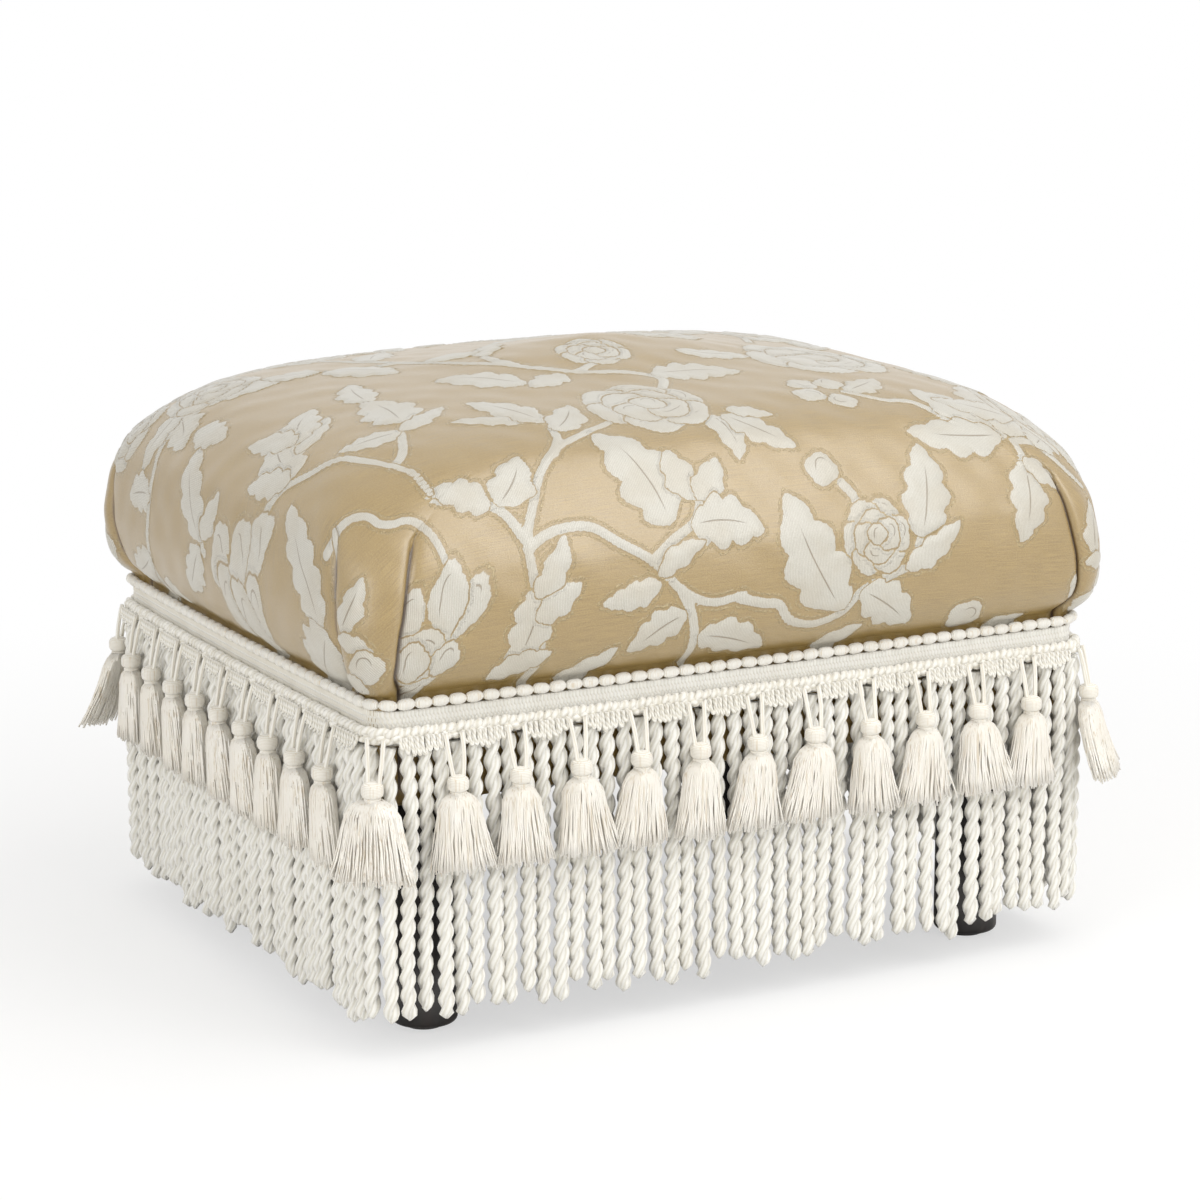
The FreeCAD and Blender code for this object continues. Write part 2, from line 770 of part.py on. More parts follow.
def staple(gap):
    """A staple that points up, its crown's underside at zero, or its hole where there is a gap."""
    half = size("staple_crown") / 2
    wire, flat = size("staple_wire"), size("staple_width")
    leg = Part.makeBox(
        wire + 2 * gap,
        flat + 2 * gap,
        size("staple_rise") + 2 * gap,
        Vector(-half - gap, -flat / 2 - gap, -gap),
    )
    other = leg.copy()
    other.translate(Vector(2 * half - wire, 0, 0))
    if gap:
        return Part.makeCompound([leg, other])
    crown = Part.makeBox(2 * half, flat, wire, Vector(-half, -flat / 2, 0))
    return crown.fuse([leg, other]).removeSplitter()


def staple_places(inset, span_x, span_y, z):
    """Places for a line of staples under each rail: a point, and whether it runs along Y."""
    places = []
    for span, across, along_y in (
        (span_x, size("rail_y") - inset, False),
        (span_y, size("rail_x") - inset, True),
    ):
        count = max(2, round(2 * span / size("staple_pitch")))
        for sign in (-1, 1):
            for at in even_places(span, count):
                point = Vector(sign * across, at, z) if along_y else Vector(at, sign * across, z)
                places.append((point, along_y))
    return places


def staples(places, gap):
    """The staples at their places, or their holes."""
    shape = staple(gap)
    made = []
    for point, along_y in places:
        copy = shape.copy()
        turn_by = FreeCAD.Rotation(Vector(0, 0, 1), 90 if along_y else 0)
        copy.Placement = FreeCAD.Placement(point, turn_by)
        made.append(copy)
    return Part.makeCompound(made)


def fastened(shape, places):
    """One fastening copied to all its places, as one group."""
    return Part.makeCompound([set_down(shape, at, heading) for at, heading in places])


cover_staple_places = staple_places(
    size("cover_staple_inset"),
    size("rail_inner_x"),
    size("rail_inner_y"),
    size("dust_top") + size("fit_gap"),
)
dust_staple_places = staple_places(
    size("dust_staple_inset"),
    size("leg_x") - size("leg_radius") - size("staple_crown"),
    size("leg_y") - size("leg_radius") - size("staple_crown"),
    size("dust_bottom") - size("fit_gap") - size("staple_wire"),
)

rail_screws = fastened(screw(size("rail_screw_length")), rail_screw_places())
block_screws = fastened(screw(size("block_screw_length")), block_screw_places())
deck_screws = fastened(screw(size("deck_screw_length")), deck_screw_places())

block_way = size("block_leg") - size("block_screw_reach") - size("block_screw_wood")
block_way += size("screw_head_diameter")
rail_holes = fastened(screw_hole(size("rail_screw_length"), size("overrun")), rail_screw_places())
block_holes = fastened(screw_hole(size("block_screw_length"), block_way), block_screw_places())
deck_holes = fastened(screw_hole(size("deck_screw_length"), size("overrun")), deck_screw_places())
staple_holes = Part.makeCompound(
    [
        staples(cover_staple_places, size("bore_gap")),
        staples(dust_staple_places, size("bore_gap")),
    ]
)

leg_places = [Vector(sx * size("leg_x"), sy * size("leg_y"), 0) for _, sx, sy in CORNERS]


def at_legs(shape):
    """A shape copied over every leg."""
    copies = []
    for point in leg_places:
        copy = shape.copy()
        copy.translate(point)
        copies.append(copy)
    return Part.makeCompound(copies)


def upright_bar(radius, low, high):
    """A round bar on the upright axis between two heights."""
    return Part.makeCylinder(radius, high - low, Vector(0, 0, low))


bolt_bottom = size("leg_top") - size("bolt_in_leg")
bolt_top = size("block_top") + size("nut_flange_thickness")
bolt_radius = size("bolt_radius")
hanger_bolt = turned(
    (
        (0, bolt_bottom),
        (bolt_radius, bolt_bottom + 2 * bolt_radius),
        (bolt_radius, bolt_top - size("bore_gap")),
        (bolt_radius - size("bore_gap"), bolt_top),
        (0, bolt_top),
    )
)
barrel_bottom = size("block_top") - size("nut_barrel_length")
flanged_nut = turned(
    (
        (size("bolt_bore"), barrel_bottom),
        (size("nut_barrel_radius"), barrel_bottom),
        (size("nut_barrel_radius"), size("block_top")),
        (size("nut_flange_radius"), size("block_top")),
        (size("nut_flange_radius"), bolt_top),
        (size("bolt_bore"), bolt_top),
    )
)
bolt_hole = upright_bar(
    size("bolt_bore"), size("dust_bottom") - size("overrun"), size("block_top") + size("overrun")
)
nut_hole = upright_bar(
    size("nut_barrel_radius") + size("bore_gap"),
    barrel_bottom - size("bore_gap"),
    size("block_top") + size("overrun"),
)

rail_tools = feature(
    "rail_cuts", Part.makeCompound([rail_holes, block_holes, deck_holes, staple_holes])
)
block_tools = feature(
    "block_cuts", Part.makeCompound([block_holes, at_legs(bolt_hole), at_legs(nut_hole)])
)
deck_tools = feature("deck_cuts", deck_holes)
dust_tools = feature(
    "dust_cuts",
    Part.makeCompound([at_legs(bolt_hole), staples(dust_staple_places, size("bore_gap"))]),
)

# Frame


def outer_upright(edge):
    """Whether an edge stands upright on the outer face of a long rail."""
    return upright(edge) and abs(edge.BoundBox.YMax) < SMALL


def rail(name, x, y, corners):
    """One rail: a padded rectangle, drilled. A long rail's two outer upright edges are eased."""
    body = new_body(name + "_blank")
    sketch = new_sketch(body, "XY_Plane", name + "_plan")
    polygon(sketch, corners)
    raised_rail = pad(body, sketch, "rail_height")
    if x == "0":
        round_edges(body, raised_rail, outer_upright, "rail_rounding")
    place(body, x, y, "rail_bottom")
    return drilled(name, body, rail_tools)


def plan(x0, y0, x1, y1):
    """The corners of a rectangle."""
    return ((x0, y0), (x1, y0), (x1, y1), (x0, y1))


parts = [
    rail("front_rail", "0", "- rail_y", plan("- rail_x", "0", "rail_x", "rail_thickness")),
    rail("back_rail", "0", "rail_y", plan("- rail_x", "- rail_thickness", "rail_x", "0")),
    rail("left_rail", "- rail_x", "0", plan("0", "- rail_inner_y", "rail_thickness", "rail_inner_y")),
    rail("right_rail", "rail_x", "0", plan("- rail_thickness", "- rail_inner_y", "0", "rail_inner_y")),
]


def corner_block(name, sign_x, sign_y):
    """A three cornered block in a corner of the frame, bored for the leg's bolt and its nut."""
    body = new_body(name + "_corner_block_blank")
    sketch = new_sketch(body, "XY_Plane", name + "_block_plan")
    along_x = "- block_leg" if sign_x > 0 else "block_leg"
    along_y = "- block_leg" if sign_y > 0 else "block_leg"
    polygon(sketch, (("0", "0"), (along_x, "0"), ("0", along_y)))
    pad(body, sketch, "block_height")
    inner_x = "rail_inner_x" if sign_x > 0 else "- rail_inner_x"
    inner_y = "rail_inner_y" if sign_y > 0 else "- rail_inner_y"
    place(body, inner_x, inner_y, "rail_bottom")
    return drilled(name + "_corner_block", body, block_tools)


parts += [corner_block(name, sx, sy) for name, sx, sy in CORNERS]


def board(name, half_x, half_y, thickness, z, tools):
    """A flat board with rounded corners, drilled for its fastenings."""
    body = new_body(name + "_blank")
    sketch = new_sketch(body, "XY_Plane", name + "_plan")
    polygon(sketch, plan("- " + half_x, "- " + half_y, half_x, half_y))
    round_edges(body, pad(body, sketch, thickness), upright, "deck_rounding")
    place(body, "0", "0", z)
    return drilled(name, body, tools)


parts += [
    board("deck_board", "rail_x", "rail_y", "deck_thickness", "rail_top", deck_tools),
    board("dust_cover", "dust_x", "dust_y", "dust_thickness", "dust_bottom", dust_tools),
]

# Legs and glides


def rim(radius):
    """A test for the full circle of a radius at the foot of a turned piece."""

    def wanted(edge):
        if not isinstance(edge.Curve, Part.Circle):
            return False
        return abs(edge.BoundBox.ZMax) < SMALL and abs(edge.Curve.Radius - size(radius)) < SMALL

    return wanted


def turned_piece(name, profile, z, foot_radius, rounding):
    """A piece turned on a lathe, with a rounded foot, set under one corner of the frame."""
    made = []
    for corner, sign_x, sign_y in CORNERS:
        body = new_body(corner + "_" + name)
        sketch = new_sketch(body, "XZ_Plane", corner + "_" + name + "_profile")
        polygon(sketch, profile)
        round_edges(body, turn(body, sketch), rim(foot_radius), rounding)
        x = "leg_x" if sign_x > 0 else "- leg_x"
        y = "leg_y" if sign_y > 0 else "- leg_y"
        place(body, x, y, z)
        made.append(body)
    return made


parts += turned_piece(
    "leg",
    (
        ("nail_bore", "0"),
        ("leg_radius", "0"),
        ("leg_radius", "leg_length"),
        ("bolt_bore", "leg_length"),
        ("bolt_bore", "leg_length - bolt_bore_depth"),
        ("0", "leg_length - bolt_bore_depth"),
        ("0", "nail_bore_depth"),
        ("nail_bore", "nail_bore_depth"),
    ),
    "glide_thickness",
    "leg_radius",
    "leg_rounding",
)

parts += turned_piece(
    "glide",
    (
        ("0", "0"),
        ("glide_radius", "0"),
        ("glide_radius", "glide_thickness"),
        ("nail_radius", "glide_thickness"),
        ("nail_radius", "glide_thickness + glide_nail_length"),
        ("0", "glide_thickness + glide_nail_length"),
    ),
    "0",
    "glide_radius",
    "glide_rounding",
)

parts += [
    feature("hanger_bolts", at_legs(hanger_bolt)),
    feature("flanged_nuts", at_legs(flanged_nut)),
    feature("rail_screws", rail_screws),
    feature("block_screws", block_screws),
    feature("deck_screws", deck_screws),
    feature("cover_staples", staples(cover_staple_places, 0)),
    feature("dust_cover_staples", staples(dust_staple_places, 0)),
]

# Foam, batting and cover

gap = size("fit_gap")
foam = cushion(size("foam_depth"), size("deck_top"), False)
foam = foam.common(room_above(size("foam_bottom")))

frame_room = slab(
    size("rail_x") + gap, size("rail_y") + gap, size("hem_bottom"), size("deck_top") + gap
)
foam_form = cushion(size("foam_depth") - gap, size("rail_top"), False)
batting = cushion(size("batting_depth"), size("hem_top"), True)
batting = batting.common(room_above(size("batting_start")))
batting = batting.cut([frame_room, foam_form.common(room_above(size("deck_top")))])

hem_opening = raised(
    trim_outline(size("hem_width")),
    size("hem_bottom") - size("overrun"),
    size("hem_top") + size("overrun"),
)
cover = cushion(0.0, size("hem_bottom"), True)
cover = cover.cut(cushion(size("cover_thickness"), size("hem_top"), True))
cover = cover.cut([hem_opening, staples(cover_staple_places, size("bore_gap"))])

parts += [
    feature("foam_pad", foam),
    feature("batting_wrap", batting),
    feature("seat_cover", cover),
]

# Trim
# The trim is laid round the cover's outline, each layer clear of the one it lies on.

trim = trim_outline()
band_inner = trim.inset(-gap)
band_outer = band_inner.inset(-size("band_thickness"))
band = raised(band_outer, size("band_bottom"), size("band_top")).cut(
    raised(band_inner, size("band_bottom") - size("overrun"), size("band_top") + size("overrun"))
)


def facing(shape, point, away, z):
    """A copy of a shape that faces the front at the origin, set to face outwards at a place."""
    angle = math.degrees(math.atan2(away.x, -away.y))
    copy = shape.copy()
    turn_by = FreeCAD.Rotation(Vector(0, 0, 1), angle)
    copy.Placement = FreeCAD.Placement(Vector(point.x, point.y, z), turn_by)
    return copy


def barrel(start, axis, side, length, end_radius, radius):
    """A barrel from a start along an axis, which swells from ring to ring up to its middle."""
    swelling = radius - end_radius
    rings = [
        start + axis * (length * along) + side * (end_radius + swelling * swell)
        for along, swell in BARREL_SHARES
    ]
    points = [start] + rings + [start + axis * length, start]
    return Part.Face(Part.makePolygon(points)).revolve(start, axis, 360)


def bead(length):
    """An oval bead that lies along X, thickest in its middle."""
    start = Vector(-length / 2, 0, 0)
    neck, radius = size("bead_neck") / 2, size("bead_diameter") / 2
    return barrel(start, Vector(1, 0, 0), Vector(0, 0, 1), length, neck, radius)


bead_radius = size("bead_diameter") / 2
bead_line = trim.inset(-gap - bead_radius)
beads = []
for side in SIDES:
    half = side_half(bead_line, side)
    count = round(2 * half / size("bead_pitch"))
    shape = bead(2 * half / count - gap)
    for point, away in stations(bead_line, side, even_places(half, count)):
        beads.append(facing(shape, point, away, size("trim_top") - bead_radius))

gimp_radius = size("gimp_diameter") / 2
gimp_line = band_outer.inset(-gap - gimp_radius)
gimp_path = gimp_line.wire(size("gimp_height"))
gimp_start = Vector(0, -gimp_line.half_y, size("gimp_height"))
gimp_ring = Part.Wire(Part.Circle(gimp_start, Vector(1, 0, 0), gimp_radius).toShape())
gimp = gimp_path.makePipeShell([gimp_ring], True, False)

tassel_counts = {}
for side in SIDES:
    length = 2 * side_half(trim, side)
    tassel_counts[side] = max(2, round(length / size("tassel_pitch")))


def scallop():
    """A cluster of loops as a flat plate: straight above, rounded below."""
    half = size("scallop_width") / 2
    drop = -size("scallop_drop")
    back = -size("hang_depth")
    start, end = Vector(-half, back, 0), Vector(half, back, 0)
    edges = [
        Part.LineSegment(start, end).toShape(),
        Part.Arc(end, Vector(0, back, drop), start).toShape(),
    ]
    return Part.Face(Part.Wire(edges)).extrude(Vector(0, -size("scallop_thickness"), 0))


scallop_shape = scallop()
scallops = []
for side in SIDES:
    places = even_places(side_half(trim, side), tassel_counts[side])
    for point, away in stations(trim, side, places):
        scallops.append(facing(scallop_shape, point, away, size("gimp_height")))

parts += [
    feature("braid_band", band),
    feature("bead_row", Part.makeCompound(beads)),
    feature("gimp_cord", gimp),
    feature("scallop_loops", Part.makeCompound(scallops)),
]

# Tassels
# Each is made at the origin, facing the front, with the cover's face at zero, then set out.

head_radius = size("tassel_head_diameter") / 2
head_back = size("hang_depth") + head_radius


def tassel_cords():
    """The two cords of a tassel, which come together at the top of its head."""
    radius = size("tassel_cord_diameter") / 2
    top = size("gimp_height")
    made = []
    for sign in (-1, 1):
        start = Vector(sign * size("tassel_cord_spread") / 2, -size("hang_depth") - radius, top)
        end = Vector(sign * (radius + gap), -head_back, size("tassel_head_top") + 2 * gap)
        run = end - start
        made.append(Part.makeCylinder(radius, run.Length, start, run))
    return Part.makeCompound(made)


def tassel_head():
    """The wound head: a short barrel, narrower at both ends."""
    start = Vector(0, -head_back, size("tassel_head_bottom"))
    neck = size("tassel_neck_diameter") / 2
    height = size("tassel_head_height")
    return barrel(start, Vector(0, 0, 1), Vector(1, 0, 0), height, neck, head_radius)


def tassel_skirt():
    """The skirt of threads: narrow under the head, wide and flat at its ends."""
    top, fall = size("tassel_skirt_top"), size("tassel_skirt_length")
    side_share, front_share, corner_share = SKIRT_ROUND_SHARES
    wires = []
    for down, wide, deep in SKIRT_SHARES:
        half_x = size("tassel_skirt_width") / 2 * wide
        half_y = size("tassel_skirt_depth") / 2 * deep
        outline = Outline(
            half_x, half_y, half_y * side_share, half_y * front_share, half_y * corner_share
        )
        wire = outline.wire(top - fall * down)
        wire.translate(Vector(0, -size("hang_depth") - half_y, 0))
        wires.append(wire)
    return Part.makeLoft(wires, True, False)


tassel_pieces = (
    ("tassel_cords", tassel_cords()),
    ("tassel_heads", tassel_head()),
    ("tassel_skirts", tassel_skirt()),
)
for side in SIDES:
    places = post_places(side_half(trim, side), tassel_counts[side] + 1)
    if side in ("left", "right"):
        places = places[1:-1]
    spots = stations(trim, side, places)
    for name, shape in tassel_pieces:
        copies = [facing(shape, point, away, 0) for point, away in spots]
        parts.append(feature(side + "_" + name, Part.makeCompound(copies)))

# Bullion fringe
# One strand after another hangs from the lower edge of the band, none as long as its neighbour.

strand_radius = size("strand_diameter") / 2
strand_line = trim.inset(-gap - strand_radius)
strand_top = size("strand_top")


def strand(length):
    """One strand: a round bar with a round end."""
    low = strand_top - length
    knee = Vector(strand_radius, 0, low + strand_radius)
    shoulder = strand_radius * math.sqrt(0.5)
    bend = Vector(shoulder, 0, low + strand_radius - shoulder)
    foot = Vector(0, 0, low)
    edges = [
        Part.LineSegment(Vector(0, 0, strand_top), Vector(strand_radius, 0, strand_top)).toShape(),
        Part.LineSegment(Vector(strand_radius, 0, strand_top), knee).toShape(),
        Part.Arc(knee, bend, foot).toShape(),
        Part.LineSegment(foot, Vector(0, 0, strand_top)).toShape(),
    ]
    return Part.Face(Part.Wire(edges)).revolve(Vector(0, 0, 0), Vector(0, 0, 1), 360)


strand_number = 0
for side in SIDES:
    half = side_half(strand_line, side)
    count = round(2 * half / size("strand_pitch"))
    copies = []
    for point, away in stations(strand_line, side, even_places(half, count)):
        share = STRAND_SHARES[strand_number % len(STRAND_SHARES)]
        shape = strand(size("strand_length") + size("strand_spread") * share)
        copies.append(facing(shape, point, away, 0))
        strand_number += 1
    parts.append(feature(side + "_bullion", Part.makeCompound(copies)))

# Checks and files

doc.recompute()
for thing in doc.Objects:
    if "Invalid" in thing.State or "Error" in thing.State:
        raise RuntimeError(thing.Label + " failed: " + ", ".join(thing.State))

os.makedirs("parts", exist_ok=True)
for part in parts:
    shape = part.Shape
    if shape.isNull() or not shape.isValid() or shape.Volume <= 0:
        raise RuntimeError(part.Label + " has no sound shape")
    shape.exportStep(os.path.join("parts", part.Label + ".step"))
    print(part.Label, len(shape.Solids), "solids", round(shape.Volume), "mm3")
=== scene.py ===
# %% [markdown]
# # An upholstered footstool with a bullion fringe
# The stool is a softwood frame on four turned legs. A crowned foam seat under a woven satin cover
# carries a trim of beads, braid, tassels and twisted bullion. The frame that is loaded holds every
# piece in plain form. This file gives each its finish and makes the soft ones in full detail.
# Lengths are in metres, and values chosen in millimetres are multiplied by MM.

# %% Start
import json
import math

import bpy
import numpy as np
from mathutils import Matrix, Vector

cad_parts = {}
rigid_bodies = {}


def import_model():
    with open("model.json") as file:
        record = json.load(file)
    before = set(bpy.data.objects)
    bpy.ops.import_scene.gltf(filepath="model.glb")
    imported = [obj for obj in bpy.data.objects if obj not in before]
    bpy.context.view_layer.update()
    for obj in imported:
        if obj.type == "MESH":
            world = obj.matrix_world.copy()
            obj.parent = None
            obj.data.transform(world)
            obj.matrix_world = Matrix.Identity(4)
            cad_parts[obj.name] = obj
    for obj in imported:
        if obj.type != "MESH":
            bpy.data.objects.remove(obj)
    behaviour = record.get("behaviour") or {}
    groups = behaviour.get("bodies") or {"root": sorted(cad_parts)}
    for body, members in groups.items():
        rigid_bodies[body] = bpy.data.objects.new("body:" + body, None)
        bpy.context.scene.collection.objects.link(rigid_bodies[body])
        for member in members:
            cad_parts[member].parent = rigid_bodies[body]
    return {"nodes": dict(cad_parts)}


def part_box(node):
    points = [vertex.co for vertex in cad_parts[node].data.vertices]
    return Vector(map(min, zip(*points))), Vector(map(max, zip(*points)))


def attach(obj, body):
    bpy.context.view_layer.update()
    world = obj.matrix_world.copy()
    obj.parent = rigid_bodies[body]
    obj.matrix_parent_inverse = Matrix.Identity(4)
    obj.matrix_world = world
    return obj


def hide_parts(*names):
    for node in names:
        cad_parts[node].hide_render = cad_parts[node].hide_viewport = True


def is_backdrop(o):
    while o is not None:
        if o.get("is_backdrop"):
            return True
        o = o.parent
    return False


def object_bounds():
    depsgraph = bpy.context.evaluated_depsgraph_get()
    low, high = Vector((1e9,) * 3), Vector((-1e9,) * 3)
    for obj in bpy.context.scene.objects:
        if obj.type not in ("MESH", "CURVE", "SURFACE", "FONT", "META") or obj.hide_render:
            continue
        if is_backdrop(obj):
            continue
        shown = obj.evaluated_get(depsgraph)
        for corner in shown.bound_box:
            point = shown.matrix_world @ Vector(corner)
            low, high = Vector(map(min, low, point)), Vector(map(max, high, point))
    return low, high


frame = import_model()
cad_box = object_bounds()
MM = 0.001
rng = np.random.default_rng(7)
print("pieces in the frame:", len(frame["nodes"]))

# %% [markdown]
# ## A piece from arrays
# A new piece is a set of numpy arrays until the very end. One function puts them into a mesh with
# foreach_set, which takes a whole array at once and so is quick even for a million points. A place
# on a pattern belongs to a face's corner, not to a point, so that a seam can have two of them.

# %% A piece from arrays


def piece(name, points, faces, finish, slot, places=None, smooth=True):
    """A mesh object from points and arrays of faces, riding on the stool's one body."""
    mesh = bpy.data.meshes.new(name)
    points = np.asarray(points, dtype=np.float32).reshape(-1, 3)
    groups = [np.asarray(group, dtype=np.int32) for group in faces]
    corners = np.concatenate([group.ravel() for group in groups])
    sizes = np.concatenate([np.full(len(group), group.shape[1]) for group in groups])
    mesh.vertices.add(len(points))
    mesh.vertices.foreach_set("co", points.ravel())
    mesh.loops.add(len(corners))
    mesh.loops.foreach_set("vertex_index", corners)
    mesh.polygons.add(len(sizes))
    mesh.polygons.foreach_set("loop_start", np.concatenate([[0], np.cumsum(sizes)[:-1]]))
    mesh.polygons.foreach_set("use_smooth", np.full(len(sizes), smooth))
    mesh.update(calc_edges=True)
    if places is not None:
        layer = mesh.uv_layers.new(name="places")
        layer.data.foreach_set("uv", np.concatenate(places).astype(np.float32))
    mesh.materials.append(finish)
    made = bpy.data.objects.new(name, mesh)
    bpy.context.collection.objects.link(made)
    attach(made, "root")
    print(f"{name}: {int((sizes - 2).sum())} triangles")
    return made


# %% [markdown]
# ## Grids and tubes
# Nearly every soft piece is a grid of points: one sheet, or a cross-section carried along a path.
# A grid's faces follow from its numbers of rows and columns. A tube needs two directions square to
# its path, which come from one direction across it, so a few sums make hundreds of threads at once.

# %% Grids
def grid(rows, columns, closed=False, looped=False):
    """The four-sided faces of a grid. Closed joins its end columns, and looped its end rows."""
    row = np.arange(rows if looped else rows - 1)[:, None]
    column = np.arange(columns if closed else columns - 1)[None, :]
    here, above = row * columns, (row + 1) % rows * columns
    after = (column + 1) % columns
    corners = (here + column, here + after, above + after, above + column)
    return np.stack(corners, axis=-1).reshape(-1, 4)


def unit(vectors):
    """The same vectors with a length of one."""
    return vectors / np.maximum(np.linalg.norm(vectors, axis=-1, keepdims=True), 1e-12)


def ramp(value, low, high):
    """Rises smoothly from 0 to 1 as a value goes from low to high."""
    share = np.clip((value - low) / (high - low), 0, 1)
    return share * share * (3 - 2 * share)


print("faces of a closed grid of 3 rows and 4 columns:", len(grid(3, 4, closed=True)))

# %% Tubes


def swept(paths, radii, sides, across):
    """Tubes along paths of one length, with capped ends, and their places for twisted yarn.

    paths is (count, steps, 3). A point of a tube is its path's point plus radius times
    (cos a * first + sin a * second), where both directions are square to the path. A face corner's
    place is its share of the turn round the tube and its length along the tube in millimetres.
    """
    count, steps = paths.shape[:2]
    along = unit(np.gradient(paths, axis=1))
    across = np.broadcast_to(across, paths.shape)
    first = unit(across - along * (across * along).sum(-1, keepdims=True))
    second = np.cross(along, first)
    angle = np.arange(sides) * 2 * np.pi / sides
    radii = np.broadcast_to(radii, (count, steps, sides))[..., None]
    ring = first[:, :, None] * np.cos(angle)[:, None] + second[:, :, None] * np.sin(angle)[:, None]
    points = paths[:, :, None] + ring * radii
    one = grid(steps, sides, closed=True)
    offset = (np.arange(count) * steps * sides)[:, None, None]
    walls = (one[None] + offset).reshape(-1, 4)
    start = np.arange(sides)[::-1]
    end = np.arange(sides) + (steps - 1) * sides
    caps = (np.stack([start, end])[None] + offset).reshape(-1, sides)
    run = np.linalg.norm(np.diff(paths, axis=1), axis=-1).cumsum(axis=1) / MM
    run = np.concatenate([np.zeros((count, 1)), run], axis=1)
    turn = np.arange(sides) / sides
    low, high = run[:, :-1, None] + turn * 0, run[:, 1:, None] + turn * 0
    before = turn + low * 0
    after = before + 1 / sides
    places = np.stack([before, low, after, low, after, high, before, high], axis=-1)
    return points.reshape(-1, 3), [walls, caps], [places.ravel(), np.zeros(caps.size * 2)]


def joined(parts):
    """Several sets of points, faces and places as one."""
    points, faces, places, first = [], [], [], 0
    for some_points, some_faces, some_places in parts:
        points.append(some_points)
        faces += [group + first for group in some_faces]
        places += some_places
        first += len(some_points)
    return np.concatenate(points), faces, places


upright_path = np.array([[[0, 0, 0], [0, 0, 1.0]]])
print("points of a tube of 6 sides:", len(swept(upright_path, 1.0, 6, (1, 0, 0))[0]))

# %% [markdown]
# ## Finishes
# A finish starts from what the real material is. The colours are the ones a paint chart would
# give, so one function turns them into the linear values that light is reckoned in. One function
# adds a node with its settings and links, and the finishes below are made from plain calls of it.

# %% Colours and nodes


def linear(hex_colour):
    """An sRGB colour such as #C8AE82 as linear red, green, blue and alpha."""
    parts = np.array([int(hex_colour[i : i + 2], 16) for i in (1, 3, 5)]) / 255
    value = np.where(parts <= 0.04045, parts / 12.92, ((parts + 0.055) / 1.055) ** 2.4)
    return (*value.tolist(), 1.0)


def wire(tree, node, inputs):
    """Links each input to a socket, or sets it to a plain value."""
    for key, value in inputs.items():
        if isinstance(value, bpy.types.NodeSocket):
            tree.links.new(value, node.inputs[key])
        else:
            node.inputs[key].default_value = value
    return node


def add(tree, kind, inputs=None, **settings):
    """Adds a node, sets its properties, and links or fills its inputs."""
    node = tree.nodes.new("ShaderNode" + kind)
    for name, value in settings.items():
        setattr(node, name, value)
    return wire(tree, node, inputs or {})


def finish(name, **surface):
    """A new material with one Principled shader, whose sockets are set by their names."""
    material = bpy.data.materials.new(name)
    material.use_nodes = True
    tree = material.node_tree
    tree.nodes.clear()
    settings = {key.replace("_", " "): value for key, value in surface.items()}
    shader = add(tree, "BsdfPrincipled", settings)
    add(tree, "OutputMaterial", {"Surface": shader.outputs[0]})
    return material, tree, shader


print("#808080 as linear light:", round(linear("#808080")[0], 4))

# %% [markdown]
# ## The camera
# The camera stands where the photograph's perspective puts it: a long lens about two metres away,
# a little above the seat and to the left. Its place is worked out from two angles and a distance,
# back along the line of sight from the point it aims at.

# %% Camera
CAMERA_TURN = math.radians(-27.9)
CAMERA_LIFT = math.radians(12.7)
CAMERA_AWAY = 2.117
AIM_HEIGHT = 0.188
AIM_ASIDE = 0.0054
FOCAL_PIXELS = 3643
FRAME_PIXELS = 1200
SENSOR_MM = 36

flat = math.cos(CAMERA_LIFT)
back = (math.sin(CAMERA_TURN) * flat, -math.cos(CAMERA_TURN) * flat, math.sin(CAMERA_LIFT))
right = np.array([math.cos(CAMERA_TURN), math.sin(CAMERA_TURN), 0])
aim = np.array([0, 0, AIM_HEIGHT]) + right * AIM_ASIDE
lens = bpy.data.cameras.new("camera")
lens.sensor_width = SENSOR_MM
lens.lens = SENSOR_MM * FOCAL_PIXELS / FRAME_PIXELS
camera = bpy.data.objects.new("camera", lens)
camera.location = aim + np.array(back) * CAMERA_AWAY
camera.rotation_euler = (math.pi / 2 - CAMERA_LIFT, 0, CAMERA_TURN)
bpy.context.collection.objects.link(camera)
bpy.context.scene.camera = camera
bpy.context.scene.view_settings.view_transform = "Standard"
print("lens:", round(lens.lens, 1), "mm")

# %% [markdown]
# ## The light
# The light is plain: a pale sky and three large soft panels. The sky looks white to the camera and
# in glossy surfaces, and is dimmer as a light, so that the pale trim doesn't clip to white. A panel
# shines down its own axis, so its turns are two arc tangents of its place seen from the stool.

# %% Light
SKY_LEVEL = 0.69
SOFT_PANELS = (
    ("panel_above", (0.5, -0.8, 1.75), 1.4, 13.0),
    ("panel_front", (0.95, -2.0, 1.3), 1.4, 16.5),
    ("panel_left", (-2.1, -0.95, 1.1), 1.3, 15.0),
)


def soft_panel(name, place, width, power):
    """A square lamp that faces the middle of the stool."""
    light = bpy.data.lights.new(name, "AREA")
    light.shape = "SQUARE"
    light.size = width
    light.energy = power
    lamp = bpy.data.objects.new(name, light)
    lamp.location = place
    away = np.array(place) - np.array([0, 0, AIM_HEIGHT])
    flat = math.hypot(away[0], away[1])
    lamp.rotation_euler = (math.atan2(flat, away[2]), 0, math.atan2(away[0], -away[1]))
    bpy.context.collection.objects.link(lamp)


for panel in SOFT_PANELS:
    soft_panel(*panel)

